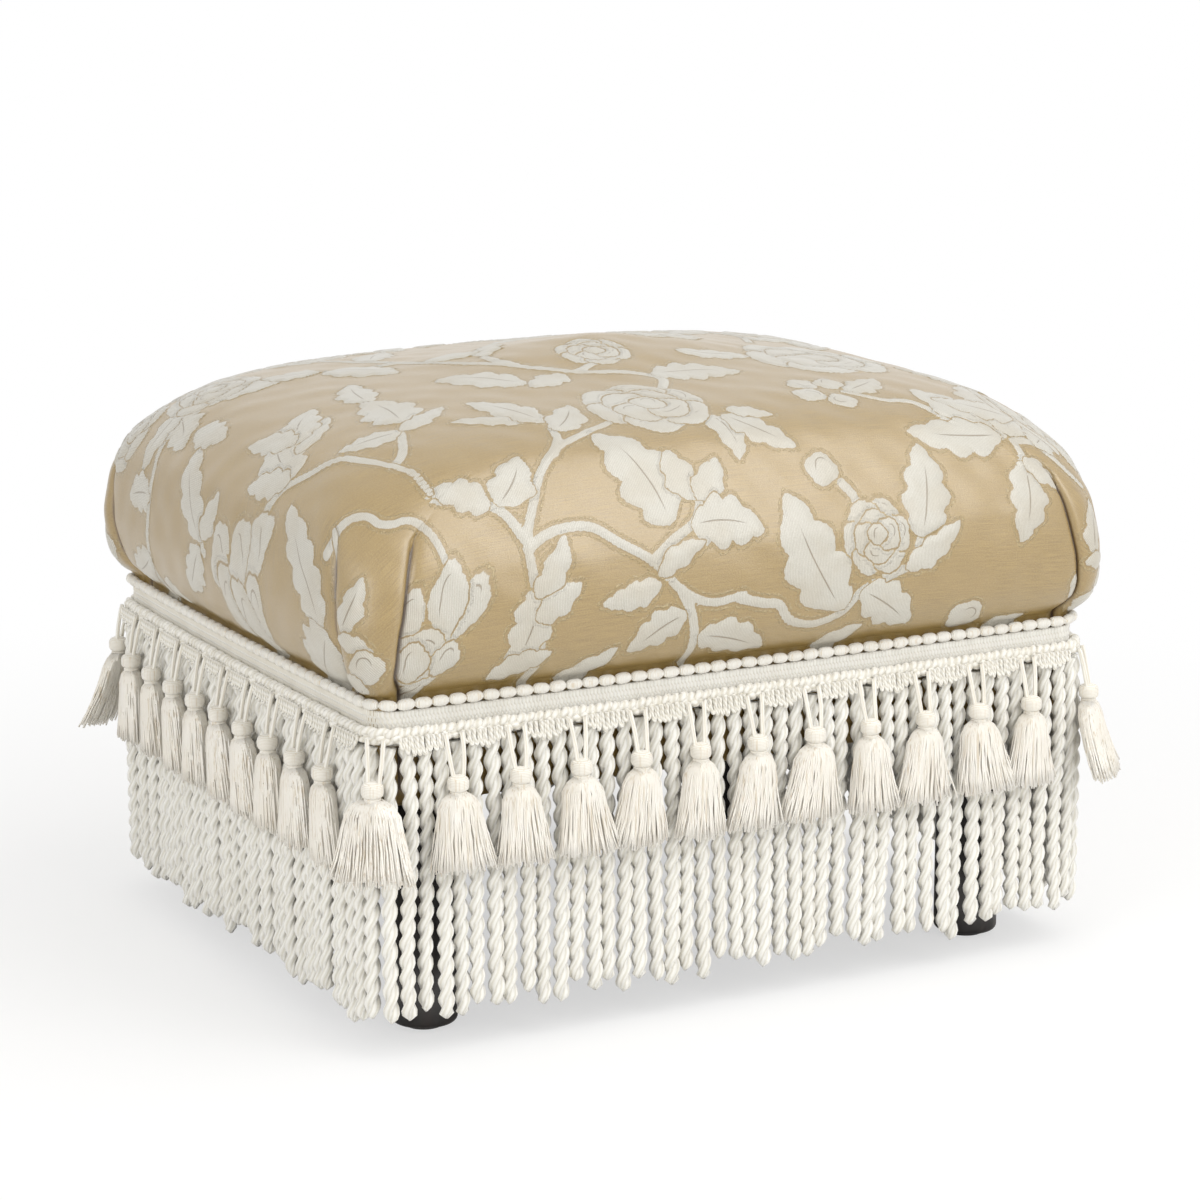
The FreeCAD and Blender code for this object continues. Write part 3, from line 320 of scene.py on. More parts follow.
sky = bpy.data.worlds.new("sky")
sky.use_nodes = True
bpy.context.scene.world = sky
sky.node_tree.nodes.clear()
tree = sky.node_tree
rays = add(tree, "LightPath").outputs
inputs = {0: rays["Is Camera Ray"], 1: rays["Is Glossy Ray"]}
seen = add(tree, "Math", inputs, operation="MAXIMUM")
level = add(tree, "MapRange", {"Value": seen.outputs[0], "To Min": SKY_LEVEL, "To Max": 1.0})
glow = add(tree, "Background", {"Color": linear("#FFFFFF"), "Strength": level.outputs[0]})
add(tree, "OutputWorld", {"Surface": glow.outputs[0]})
print("lamps:", len(SOFT_PANELS))

# %% [markdown]
# ## The floor
# The stool stands on a pale painted floor that keeps its shadow and fades to plain white further
# out. The fade is a second, glowing shader that only the camera sees, mixed in by the distance from
# the stool, so that it gives the object no light.

# %% Floor
FLOOR_REACH = 12.0
SHADOW_REACH = (0.3, 0.9)
WHITE_SHARE = 0.6

floor_paint, tree, shader = finish("painted_floor", Roughness=0.9)
shader.inputs["Base Color"].default_value = linear("#F4F3F1")
place = add(tree, "TexCoord")
length = add(tree, "VectorMath", {0: place.outputs["Object"]}, operation="LENGTH")
inputs = {"Value": length.outputs["Value"], "To Min": WHITE_SHARE}
inputs["From Min"], inputs["From Max"] = SHADOW_REACH
far = add(tree, "MapRange", inputs, interpolation_type="SMOOTHSTEP")
rays = add(tree, "LightPath").outputs
only_seen = add(tree, "Math", {0: far.outputs[0], 1: rays["Is Camera Ray"]}, operation="MULTIPLY")
white = add(tree, "Emission", {"Color": linear("#FFFFFF"), "Strength": 1.0})
inputs = {0: only_seen.outputs[0], 1: shader.outputs[0], 2: white.outputs[0]}
mixed = add(tree, "MixShader", inputs)
output = next(node for node in tree.nodes if node.type == "OUTPUT_MATERIAL")
wire(tree, output, {"Surface": mixed.outputs[0]})

reach = np.array([[-1, -1, 0], [1, -1, 0], [1, 1, 0], [-1, 1, 0]]) * FLOOR_REACH
floor_mesh = bpy.data.meshes.new("floor")
floor_mesh.from_pydata(reach.tolist(), [], [(0, 1, 2, 3)])
floor_mesh.materials.append(floor_paint)
floor = bpy.data.objects.new("floor", floor_mesh)
bpy.context.collection.objects.link(floor)
floor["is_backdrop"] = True
print("floor:", 2 * FLOOR_REACH, "m wide, shadow kept for", SHADOW_REACH[0], "m")

# %% [markdown]
# ## The seat's outline
# Seen from above the seat is an oblong whose sides bow out a little and whose corners are round.
# Each quarter is three arcs: a slack one for the front, a tight one for the corner and a slack one
# for the side. The direction in which a point faces turns steadily from the front to the side, so
# that one angle finds both the arc and the point on it.

# %% Outline
band_low, band_high = (np.array(corner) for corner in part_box("braid_band"))
cover_low, cover_high = (np.array(corner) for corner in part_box("seat_cover"))
bead_low, bead_high = (np.array(corner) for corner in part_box("bead_row"))
BAND_STAND = 2.5 * MM
TRIM_BOW = 3 * MM
TRIM_CORNER = 12 * MM
half_x = band_high[0] - BAND_STAND
half_y = band_high[1] - BAND_STAND
trim_top = bead_high[2]
crown_rise = cover_high[2] - trim_top


def arcs(width, depth, bow_side, bow_front, corner):
    """Centres, radii and turning angles of the three arcs of the right front quarter.

    A slack arc through a side's middle and bow has the radius (half length squared plus bow
    squared) over twice the bow. The corner's centre is as far inside both slack arcs as its own
    radius, so it is where two smaller circles cross.
    """
    front_radius = (width**2 + bow_front**2) / (2 * bow_front)
    side_radius = (depth**2 + bow_side**2) / (2 * bow_side)
    front_centre = np.stack([np.zeros_like(width), front_radius - depth], axis=-1)
    side_centre = np.stack([width - side_radius, np.zeros_like(width)], axis=-1)
    between = side_centre - front_centre
    apart = np.linalg.norm(between, axis=-1)
    near, far = front_radius - corner, side_radius - corner
    along = (near**2 - far**2 + apart**2) / (2 * apart)
    aside = np.sqrt(np.maximum(near**2 - along**2, 0))
    heading = between / apart[..., None]
    sideways = np.stack([-heading[..., 1], heading[..., 0]], axis=-1)
    foot = front_centre + heading * along[..., None]
    options = (foot + sideways * aside[..., None], foot - sideways * aside[..., None])
    better = (options[0][..., 0] - options[0][..., 1]) > (options[1][..., 0] - options[1][..., 1])
    corner_centre = np.where(better[..., None], *options)
    to_front, to_side = corner_centre - front_centre, corner_centre - side_centre
    first_turn = np.arctan2(to_front[..., 1], to_front[..., 0])
    second_turn = np.arctan2(to_side[..., 1], to_side[..., 0])
    centres = np.stack([front_centre, corner_centre, side_centre], axis=-2)
    radii = np.stack([front_radius, corner, side_radius], axis=-1)
    quarter = np.full_like(width, -np.pi / 2)
    turns = np.stack([quarter, first_turn, second_turn, np.zeros_like(width)], axis=-1)
    return centres, radii, turns


def run_lengths(radii, turns):
    """Lengths of the three arcs: radius times turning angle."""
    return radii * np.diff(turns, axis=-1)


def on_outline(shape, distance):
    """Points and outward directions at distances from the front's middle, for many outlines."""
    centres, radii, turns = shape
    lengths = run_lengths(radii, turns)
    first, second = lengths[:, :1], lengths[:, :1] + lengths[:, 1:2]
    which = (distance > first).astype(int) + (distance > second).astype(int)
    starts = np.concatenate([np.zeros_like(first), first, second], axis=1)
    turn, start, radius = (
        np.take_along_axis(table, which, axis=1) for table in (turns[:, :3], starts, radii)
    )
    turn = turn + (distance - start) / radius
    outward = np.stack([np.cos(turn), np.sin(turn)], axis=-1)
    centre = np.take_along_axis(centres, which[..., None], axis=1)
    return centre + outward * radius[..., None], outward


print("half the seat at the trim:", round(half_x / MM), "by", round(half_y / MM), "mm")
print("crown above the trim:", round(crown_rise / MM), "mm")


# %% [markdown]
# ## The cushion's form
# Above the trim the seat swells out, leans back in over the shoulder and closes in a low crown.
# A table of outlines at rising heights gives that form, as shares of the seat's own sizes: the
# height as a share of the crown's rise, the half width and half depth as shares of the seat's, and
# as shares of the half depth how far the sides and the front bow out and the corner's radius.
# Between its rows every value runs along a smooth curve that never overshoots a row.

# %% Cushion levels
LEVEL_SPACING = 2.0 * MM
FINE_STEPS = 3000
CUSHION_SHARES = np.array(
    [
        (0.000, 1.000, 1.000, 0.0168, 0.0168, 0.067),
        (0.070, 1.048, 1.062, 0.022, 0.028, 0.090),
        (0.155, 1.077, 1.095, 0.034, 0.039, 0.125),
        (0.280, 1.096, 1.106, 0.046, 0.052, 0.170),
        (0.415, 1.098, 1.094, 0.052, 0.061, 0.210),
        (0.550, 1.085, 1.052, 0.062, 0.072, 0.265),
        (0.665, 1.034, 0.998, 0.075, 0.088, 0.335),
        (0.765, 0.943, 0.925, 0.090, 0.106, 0.420),
        (0.850, 0.760, 0.745, 0.140, 0.160, 0.410),
        (0.915, 0.455, 0.385, 0.175, 0.210, 0.250),
        (0.967, 0.225, 0.180, 0.110, 0.135, 0.100),
        (1.000, 0.020, 0.016, 0.004, 0.005, 0.006),
    ]
)


def smooth_rows(table, at):
    """Values between the rows of a table on a curve without overshoot.

    The slope at a row is the harmonic mean of the steps to its two neighbours, and nothing where
    they differ in sign. Between rows it is the cubic with those slopes.
    """
    step = np.diff(table, axis=0)
    before, after = step[:-1], step[1:]
    total = np.where(np.abs(before + after) < 1e-12, 1, before + after)
    inner = np.where(before * after > 0, 2 * before * after / total, 0)
    slope = np.concatenate([step[:1], inner, step[-1:]])
    row = np.clip(at.astype(int), 0, len(table) - 2)
    share = (at - row)[:, None]
    start, end = table[row], table[row + 1]
    return (
        start * (1 + 2 * share) * (1 - share) ** 2
        + end * share**2 * (3 - 2 * share)
        + slope[row] * share * (1 - share) ** 2
        - slope[row + 1] * share**2 * (1 - share)
    )


def level_rows(spacing):
    """Rows of the cushion table at even steps over the front's middle line."""
    at = np.linspace(0, len(CUSHION_SHARES) - 1, FINE_STEPS)
    fine = smooth_rows(CUSHION_SHARES, at)
    height = fine[:, 0] * crown_rise
    depth = fine[:, 2] * half_y
    run = np.concatenate([[0], np.cumsum(np.hypot(np.diff(height), np.diff(depth)))])
    wanted = np.linspace(0, run[-1], round(run[-1] / spacing) + 1)
    return np.stack([np.interp(wanted, run, column) for column in fine.T], axis=-1)


def level_arcs(rows, inset=0.0):
    """The arcs of the outlines in rows of shares, for a seat drawn in by a depth."""
    wide, deep = half_x - inset, half_y - inset
    _, width, depth, bow_side, bow_front, corner = rows.T
    return arcs(width * wide, depth * deep, bow_side * deep, bow_front * deep, corner * deep)


rows = level_rows(LEVEL_SPACING)
print("levels over the cushion:", len(rows))

# %% [markdown]
# ## Where the cover is folded
# At each corner the cover is pulled down and folded twice, so two creases run up from the trim
# and die out in the shoulder. The columns of the grid follow the creases: one column lies in each
# crease on every level, and its neighbours crowd towards it.

# %% Columns of the cover
CREASE_HEIGHTS = np.array([187, 212, 236, 256, 276, 312]) * MM
CREASE_FRONT = np.array([8, 14.5, 20, 23, 25, 44]) * MM
CREASE_SIDE = np.array([24, 24, 23, 20, 17, 42]) * MM
CREASE_LIMIT_SHARE = 0.16
FACE_COLUMNS, STRIP_COLUMNS, SIDE_COLUMNS = 98, 44, 80
QUARTER_COLUMNS = FACE_COLUMNS + STRIP_COLUMNS + SIDE_COLUMNS
FACE_CROWDING = 0.25
STRIP_CROWDING = 0.11


def crowded(share):
    """Shares that crowd towards their end: share times (1 + c - c share)."""
    return share * (1 + FACE_CROWDING - FACE_CROWDING * share)


def quarter_distances(shape, heights):
    """Distances of the columns from the front's middle on each level, in one quarter."""
    lengths = run_lengths(shape[1], shape[2])
    total = lengths.sum(-1)
    corner = lengths[:, 0] + lengths[:, 1] / 2
    limit = np.minimum(total * CREASE_LIMIT_SHARE, (total - corner) / 2)
    first = corner - np.minimum(np.interp(heights, CREASE_HEIGHTS, CREASE_FRONT), limit)
    second = corner + np.minimum(np.interp(heights, CREASE_HEIGHTS, CREASE_SIDE), limit)
    face = np.arange(FACE_COLUMNS) / FACE_COLUMNS
    strip = np.arange(STRIP_COLUMNS) / STRIP_COLUMNS
    side = np.arange(SIDE_COLUMNS + 1) / SIDE_COLUMNS
    strip = strip - STRIP_CROWDING * np.sin(2 * np.pi * strip)
    first, second, total = first[:, None], second[:, None], total[:, None]
    parts = (
        first * crowded(face),
        first + (second - first) * strip,
        total - (total - second) * crowded(1 - side),
    )
    return np.concatenate(parts, axis=1)


def all_round(quarter):
    """A quarter's values carried round the whole seat, from the front's middle to the right."""
    there, returned = quarter[:, :-1], quarter[:, :0:-1]
    return np.concatenate([there, returned, there, returned], axis=1)


def signs_round(quarter):
    """The signs of x and y in the four quarters, for so many columns in each."""
    return np.stack([np.repeat([1, 1, -1, -1], quarter), np.repeat([1, -1, -1, 1], quarter)], -1)


def rings(shape, distances):
    """Points and outward directions of whole rings from the distances in one quarter."""
    signs = signs_round(distances.shape[1] - 1)
    return [all_round(found) * signs for found in on_outline(shape, distances)]


# %% Cover grid
shape = level_arcs(rows)
heights = trim_top + rows[:, 0] * crown_rise
distances = quarter_distances(shape, heights)
plan, outward = rings(shape, distances)

# Below the trim the cover falls straight to the hem.
HEM_STEP = 1.2 * MM
LOW_ROWS = 6
low = np.linspace(cover_low[2] + HEM_STEP, trim_top, LOW_ROWS + 1)[:-1]
heights = np.concatenate([low, heights])
distances, plan, outward = (
    np.concatenate([np.repeat(table[:1], LOW_ROWS, axis=0), table])
    for table in (distances, plan, outward)
)
print("cover grid:", plan.shape[:2])

# %% [markdown]
# ## The cloth's own places
# A woven pattern belongs to the cloth, not to the room, so every point of the cover needs its place
# on the flat cloth before it was pulled over the seat. Walking down a column from the crown, the
# cloth moves outwards by the whole step, climb included. On the front and back that step counts
# across the depth, on the short sides across the width. Between the two creases of a corner it
# counts along the diagonal, and the rest of the cloth there is hidden in the folds.

# %% Cloth places


def cloth_places(plan, heights):
    """Places on the flat cloth, for columns that run from the trim (first row) to the crown."""
    down = np.diff(heights[::-1])[:, None]
    step = np.diff(plan[::-1], axis=0)
    start = plan[-1:]
    across = np.sign(start) * np.cumsum(np.hypot(step, down[..., None]), axis=0)
    reached = np.concatenate([start, start + across])[::-1]
    front = np.stack([plan[..., 0], reached[..., 1]], axis=-1)
    side = np.stack([reached[..., 0], plan[..., 1]], axis=-1)
    return front, side


front_cloth, side_cloth = cloth_places(plan, heights)
TRIM_REACH_Y = -front_cloth[LOW_ROWS, 0, 1] / MM
TRIM_REACH_X = side_cloth[LOW_ROWS, QUARTER_COLUMNS, 0] / MM
print("cloth from the crown to the trim:", round(TRIM_REACH_Y), round(TRIM_REACH_X), "mm")

# %% Front and side cloth mixed
FOLD_ENDS = (238 * MM, 282 * MM)
MIX_COLUMNS_FRONT, MIX_COLUMNS_SIDE = 30, 26

# Low down, one cloth changes into the other across the strip, and higher up more widely.
folded = 1 - ramp(heights, *FOLD_ENDS)[:, None]
column = np.arange(QUARTER_COLUMNS + 1)
in_strip = (column >= FACE_COLUMNS) & (column <= FACE_COLUMNS + STRIP_COLUMNS)
strip_share = np.clip((column - FACE_COLUMNS) / STRIP_COLUMNS, 0, 1)
mix_end = FACE_COLUMNS + STRIP_COLUMNS + MIX_COLUMNS_SIDE
wide_share = ramp(column, FACE_COLUMNS - MIX_COLUMNS_FRONT, mix_end)
share_round = all_round(strip_share * folded + wide_share * (1 - folded))[..., None]
open_cloth = front_cloth * (1 - share_round) + side_cloth * share_round
strip_round = all_round(in_strip[None].astype(float))[0] > 0
print("columns between creases:", int(strip_round.sum()))

# %% Strip cloth
# Inside a strip the cloth runs on from the shoulder along the diagonal.
STRIP_TOP = 276 * MM
cloth = open_cloth.copy()
middle = FACE_COLUMNS + STRIP_COLUMNS // 2
top_row = int(np.argmax(heights > STRIP_TOP))
feet = []
for quarter in range(4):
    first = quarter * QUARTER_COLUMNS
    at_middle = first + (middle if quarter % 2 == 0 else QUARTER_COLUMNS - middle)
    columns = first + np.nonzero(strip_round[first : first + QUARTER_COLUMNS])[0]
    diagonal = unit(signs_round(QUARTER_COLUMNS)[at_middle] * np.array([1.0, -1.0]))
    sideways = np.array([-diagonal[1], diagonal[0]])
    line = np.column_stack([plan[: top_row + 1, at_middle], heights[: top_row + 1]])
    steps = np.linalg.norm(np.diff(line, axis=0), axis=1)
    fallen = np.concatenate([np.cumsum(steps[::-1])[::-1], [0]])
    aside = (plan[: top_row + 1, columns] - plan[: top_row + 1, at_middle][:, None]) @ sideways
    flat = cloth[top_row, at_middle] + diagonal * fallen[:, None, None]
    flat = flat + sideways * aside[..., None]
    feet.append((flat[LOW_ROWS, int(np.argmin(np.abs(aside[LOW_ROWS])))] / MM, diagonal, sideways))
    weight = folded[: top_row + 1, :, None]
    cloth[: top_row + 1, columns] = cloth[: top_row + 1, columns] * (1 - weight) + flat * weight
print("strips laid up to a height of", round(heights[top_row] / MM), "mm")

# %% [markdown]
# ## The woven figure
# The cloth is a satin with a raised figure in ivory: a climbing vine with broad lobed leaves,
# flowers of long petals and open roses. Such trailing patterns are an old tradition, and this one
# is drawn afresh from three shapes: leaf, petal and vine. A painted image would blur close by, so
# each shape is a formula. It gives, for any place on the cloth, the distance in millimetres from
# the shape's edge and from its midline, and the thickness of the stroke along that midline.
#
# ### The leaf
# A leaf has a bent midrib, round lobes along both edges that lean to its tip, and one stroke for a
# vein.

# %% Leaf
FAR_OUT = 6.0
NO_STROKE = -1
LEAF_GROWTH = 1.02
LEAF_FULLNESS = 1.06
LEAF_SWELL_LEAN, LEAF_SWELL_POWER, LEAF_TAPER = 0.8, 0.7, 0.12
LOBE_LOW, LOBE_RISE, LOBE_LEAN, LOBE_ROUNDNESS = 0.74, 0.32, 1.35, 2.2
EDGE_ROOM = 4


def leaf(base, tip, width, bend=0.0, lobes=3, vein=1):
    """A leaf from its base to its tip, in millimetres on the cloth.

    Its half width is a sine swelling times a few round lobes, with a fine ragged edge. The edge's
    distance is the place's distance from the bent midrib less that half width. A vein is a short
    stroke on the midrib, thickest in its middle. It returns a middle, a reach within which every
    place of the leaf lies, and the function that measures places.
    """
    base, tip = np.array(base, float), np.array(tip, float)
    tip = base + (tip - base) * LEAF_GROWTH
    width = width * LEAF_FULLNESS
    length = np.linalg.norm(tip - base)
    along = (tip - base) / length
    aside = np.array([-along[1], along[0]])
    shift = (base[0] * 0.37 + tip[1] * 0.21) % 1.0

    def measure(places):
        share = (places - base) @ along / length
        inside = np.clip(share, 0, 1)
        across = (places - base) @ aside - bend * 4 * inside * (1 - inside)
        swell = np.sin(np.pi * inside**LEAF_SWELL_LEAN) ** LEAF_SWELL_POWER
        swell = swell * (1 - LEAF_TAPER * inside)
        phase = (inside * (lobes + 0.6) + 0.22 * np.sign(across) + shift) % 1.0
        lobe = 1 - np.abs(2 * phase**LOBE_LEAN - 1) ** LOBE_ROUNDNESS
        lobe = LOBE_LOW + LOBE_RISE * lobe
        ragged = 0.3 * np.sin(inside * length * 1.5) + 0.25 * np.sin(inside * length * 3.9 + shift)
        edge = (np.abs(across) - width / 2 * swell * lobe - ragged) * 0.9
        beyond = np.maximum(share - 1, -share) * length
        edge = np.where(beyond > 0, np.hypot(np.maximum(edge, 0), beyond), edge)
        reach = ramp(share, 0.03, 0.25) * (1 - ramp(share, 0.5, 0.85))
        stroke = (0.55 * reach - 0.15) if vein else share * 0 + NO_STROKE
        return edge, across, stroke

    return (base + tip) / 2, (length + width) / 2 + abs(bend) + EDGE_ROOM, measure


test_leaf = leaf((0, 0), (40, 0), 20)[2]
print("from a leaf's middle to its edge:", test_leaf(np.array([[20.0, 0]]))[0].round(1), "mm")

# %% [markdown]
# ### The petal and the rose
# A petal is a round with a wavy edge, or an oval where it is longer than wide. A rose is three
# rings of petals over one another: six broad ones, four smaller ones and one for its curled heart.

# %% Petal and rose
PETAL_ROOM = 3
ROSE_RINGS = (
    (6, 0.62, 0.46, 0.78, 0.0),
    (4, 0.34, 0.40, 0.8, 0.6),
    (1, 0.06, 0.27, 0.9, 0.2),
)


def petal(centre, radius, turn=0.0, lobes=5, depth=0.1, flat=1.0):
    """A petal: a round whose radius is 1 plus a lobed wave, stretched by `flat` along its turn."""
    centre = np.array(centre, float)
    heading = np.array([math.cos(turn), math.sin(turn)])
    aside = np.array([-heading[1], heading[0]])

    def measure(places):
        near, wide = (places - centre) @ heading / flat, (places - centre) @ aside
        reach, angle = np.hypot(near, wide), np.arctan2(wide, near)
        wave = depth * np.abs(np.sin(angle * lobes / 2 + turn)) - depth / 2
        edge = (reach - radius * (1 + wave)) * min(flat, 1.0)
        edge = edge + 0.3 * np.sin(angle * radius * 1.7)
        curl = reach - radius * 0.55 * (1 + 0.25 * np.sin(2 * angle + turn))
        stroke = 0.45 * ramp(np.cos(angle - turn), 0.2, 0.8) - 0.12
        return edge, curl, stroke

    return centre, radius * 1.35 * max(flat, 1.0) + PETAL_ROOM, measure


def rose(centre, radius, turn=0.0):
    """The petals of an open rose, ring by ring, each ring's count, place, size, form and turn."""
    centre = np.array(centre, float)
    made = []
    for count, away, size, flat, shift in ROSE_RINGS:
        for i in range(count):
            angle = turn + shift + i * 2 * math.pi / count
            spot = centre + radius * away * np.array([math.cos(angle), math.sin(angle)])
            made.append(petal(spot, radius * size, angle, lobes=4, depth=0.14, flat=flat))
    return made


print("petals of a rose:", len(rose((0, 0), 30)))

# %% [markdown]
# ### The vine
# A stem is a soft line through a few points, and all the stems of a face are one shape, so that
# they join without a border where they branch. The distance from a stem is the distance from the
# nearest of its short straight spans, less half its width there.

# %% Vine


def soft_line(points, steps=6):
    """A curve through points: each span is the cubic that the points beside it steer."""
    points = np.array(points, float)
    padded = np.concatenate([2 * points[:1] - points[1:2], points, 2 * points[-1:] - points[-2:-1]])
    share = (np.arange(steps) / steps)[None, :, None]
    a, b, c, d = (padded[i : len(padded) - 3 + i, None] for i in range(4))
    curve = 0.5 * (
        2 * b + (c - a) * share + (2 * a - 5 * b + 4 * c - d) * share**2
        + (3 * b - a - 3 * c + d) * share**3
    )
    return np.concatenate([curve.reshape(-1, points.shape[1]), points[-1:]])


def vine(lines, width=5.7, thin=4.3):
    """All the stems of one face as one shape, each along a soft curve and thinner at its end."""
    curves = [soft_line(points) for points in lines]
    low = np.min([line.min(axis=0) for line in curves], axis=0)
    high = np.max([line.max(axis=0) for line in curves], axis=0)

    def measure(places):
        best = np.full(len(places), FAR_OUT)
        for line in curves:
            beside = (places > line.min(axis=0) - FAR_OUT) & (places < line.max(axis=0) + FAR_OUT)
            beside = np.nonzero(beside.all(axis=1))[0]
            some, found = places[beside], best[beside]
            for i, (start, end) in enumerate(zip(line[:-1], line[1:])):
                half = (width + (thin - width) * i / len(line)) / 2
                near = np.abs(some - (start + end) / 2).max(axis=1) < half + FAR_OUT
                span = end - start
                offset = some[near] - start
                share = np.clip(offset @ span / (span @ span), 0, 1)
                gap = np.linalg.norm(offset - share[:, None] * span, axis=1) - half
                found[near] = np.minimum(found[near], gap)
            best[beside] = found
        ragged = 0.25 * np.sin(places[:, 0] * 1.3) * np.sin(places[:, 1] * 1.7)
        return best + ragged, best * 0 + FAR_OUT, best * 0 + NO_STROKE

    return (low + high) / 2, (high - low).max() / 2 + width, measure


print("points of a soft line through three points:", len(soft_line([(0, 0), (9, 3), (20, 0)])))

# %% [markdown]
# ### Where the figure lies
# The places are listed in millimetres. On the front a place is given by its distance from
# the middle and its height along the cloth above the trim, on the left side likewise, and on the
# top by its plain place. The unseen back and right side carry the same growth, turned by half.
#
# A stem is a row of places. A leaf has its base's place and its tip's, its width, its bend, its
# number of lobes, and 1 where it has a vein. A petal has its middle, half width, turn and how many
# times longer it is than wide. A rose has its middle, radius and turn.

# %% Faces of the cloth


def front(x, rise):
    """A place on the front face as a place on the flat cloth."""
    return (x, rise - TRIM_REACH_Y)


def left(y, rise):
    """A place on the left face as a place on the flat cloth."""
    return (rise - TRIM_REACH_X, y)


def rear(x, rise):
    """A place on the back face: the front's, turned by half round the crown."""
    return (-x, TRIM_REACH_Y - rise)


def far_side(y, rise):
    """A place on the right face: the left's, turned by half round the crown."""
    return (TRIM_REACH_X - rise, -y)


def top(x, y):
    """A place on the top, which is the flat cloth's own."""
    return (x, y)


def corner(number):
    """The strip between the creases of a corner, as a function of distance aside and rise."""
    foot, diagonal, sideways = feet[number]

    def to_cloth(aside, rise):
        return tuple(foot - diagonal * rise + sideways * aside)

    return to_cloth


print("the front's middle at the trim:", front(0, 0))

# %% Growth on the front
FRONT_STEMS = (
    (
        (-136, -4), (-131, 30), (-134, 62), (-135, 88), (-126, 110), (-117, 126), (-101, 141),
        (-83, 150), (-56, 162),
    ),
    ((-136, 84), (-120, 91), (-100, 91), (-84, 80), (-66, 68), (-50, 51), (-32, 42), (-12, 44)),
    ((-14, 42), (0, 38), (10, 36), (18, 26), (34, 22), (50, 27), (62, 39), (78, 45), (92, 50)),
    ((-66, 68), (-52, 78), (-38, 86), (-32, 98)),
    ((-50, 51), (-43, 36), (-40, 18), (-40, -4)),
    ((-136, 88), (-146, 106), (-160, 114), (-178, 120), (-183, 129), (-184, 140)),
    ((-191, 159), (-181, 168), (-173, 185), (-169, 195)),
    (
        (-258, 148), (-246, 145), (-234, 143), (-225, 140), (-219, 134), (-216, 126), (-210, 121),
        (-203, 119), (-197, 115), (-190, 105), (-186, 96), (-183, 85),
    ),
    ((-106, 136), (-98, 148), (-96, 160)),
    ((92, 50), (98, 60), (104, 74)),
    ((56, 99), (62, 90), (62, 78)),
    ((170, 126), (146, 130), (128, 156), (112, 160), (94, 174)),
    ((180, 124), (181, 112), (178, 96)),
    ((180, 124), (196, 126), (214, 116), (232, 112)),
)
FRONT_LEAVES = (
    (-52, 86, -77, 148, 36, -3, 3, 1),
    (-34, 98, -44, 128, 20, 2, 2, 0),
    (-34, 98, -16, 120, 18, -2, 2, 0),
    (-40, 84, 2, 77, 30, 4, 3, 1),
    (-63, 60, -34, 75, 13, 2, 2, 0),
    (-62, 56, -96, 49, 15, 2, 3, 0),
    (-47, 38, -79, 19, 20, -2, 3, 1),
    (-38, 24, 6, 7, 24, 3, 3, 1),
    (-116, 0, -86, 23, 17, -2, 2, 0),
    (50, 29, 20, 95, 38, 5, 3, 1),
    (100, 66, 112, 119, 30, -3, 3, 1),
    (90, 49, 127, 73, 15, -2, 3, 0),
    (62, 39, 97, 15, 27, 2, 3, 1),
    (150, -6, 179, 12, 15, 2, 2, 0),
    (42, -6, 66, 17, 17, 2, 2, 0),
    (180, 108, 168, 60, 26, 3, 3, 1),
    (181, 110, 205, 94, 16, 0, 2, 0),
    (176, 126, 140, 176, 38, 4, 3, 1),
    (180, 128, 188, 198, 46, -4, 4, 1),
    (172, 126, 110, 128, 28, 3, 3, 1),
    (196, 124, 222, 150, 24, 0, 3, 1),
    (-133, 62, -150, 20, 24, 4, 3, 1),
    (-134, 46, -108, 62, 16, 0, 2, 0),
    (-134, 58, -114, 88, 15, -3, 2, 0),
    (-158, 14, -124, 26, 17, 2, 3, 0),
    (-147, 110, -127, 138, 26, -3, 2, 1),
    (-152, 109, -184, 129, 21, -3, 3, 0),
    (-169, 195, -205, 201, 20, 2, 3, 1),
    (-163, 207, -161, 262, 34, -3, 3, 1),
    (-169, 196, -133, 219, 14, -2, 3, 0),
    (-106, 172, -142, 190, 13, -2, 3, 0),
    (-97, 168, -120, 216, 24, -3, 3, 1),
    (-95, 157, -72, 188, 22, -3, 2, 1),
    (-4, 156, -2, 118, 18, 3, 2, 1),
    (4, 154, 34, 122, 22, -2, 3, 1),
    (10, 160, 34, 150, 13, 0, 2, 0),
    (96, 174, 128, 196, 21, -2, 3, 1),
    (-228, 3, -192, 15, 13, 0, 2, 1),
    (-225, 9, -190, 27, 13, 2, 2, 1),
    (-207, 2, -186, 36, 13, 0, 2, 1),
)
FRONT_PETALS = (
    ((-205, 58), 8, 1.24, 2.0),
    ((-173, 59), 9, 0.85, 2.1),
    ((-183, 65), 10, 1.34, 2.0),
    ((-199, 36), 14, 0.5, 1.1),
    ((-185, 33), 7, 0.9, 1.4),
    ((-203, 33), 9, 1.4, 1.2),
    ((46, 108), 9.5, 1.0, 1.0),
    ((135, 16), 11, 0.4, 1.0),
    ((76, 190), 9, 2.0, 1.0),
    ((92, 188), 8.5, 0.9, 1.0),
    ((70, 172), 9, 3.4, 1.0),
    ((86, 162), 8.5, 4.9, 1.0),
    ((214, 30), 10, 0.2, 1.0),
)
FRONT_ROSES = (((-30, 178), 36, 0.3), ((72, 68), 22, 1.1))
print("leaves on the front:", len(FRONT_LEAVES))

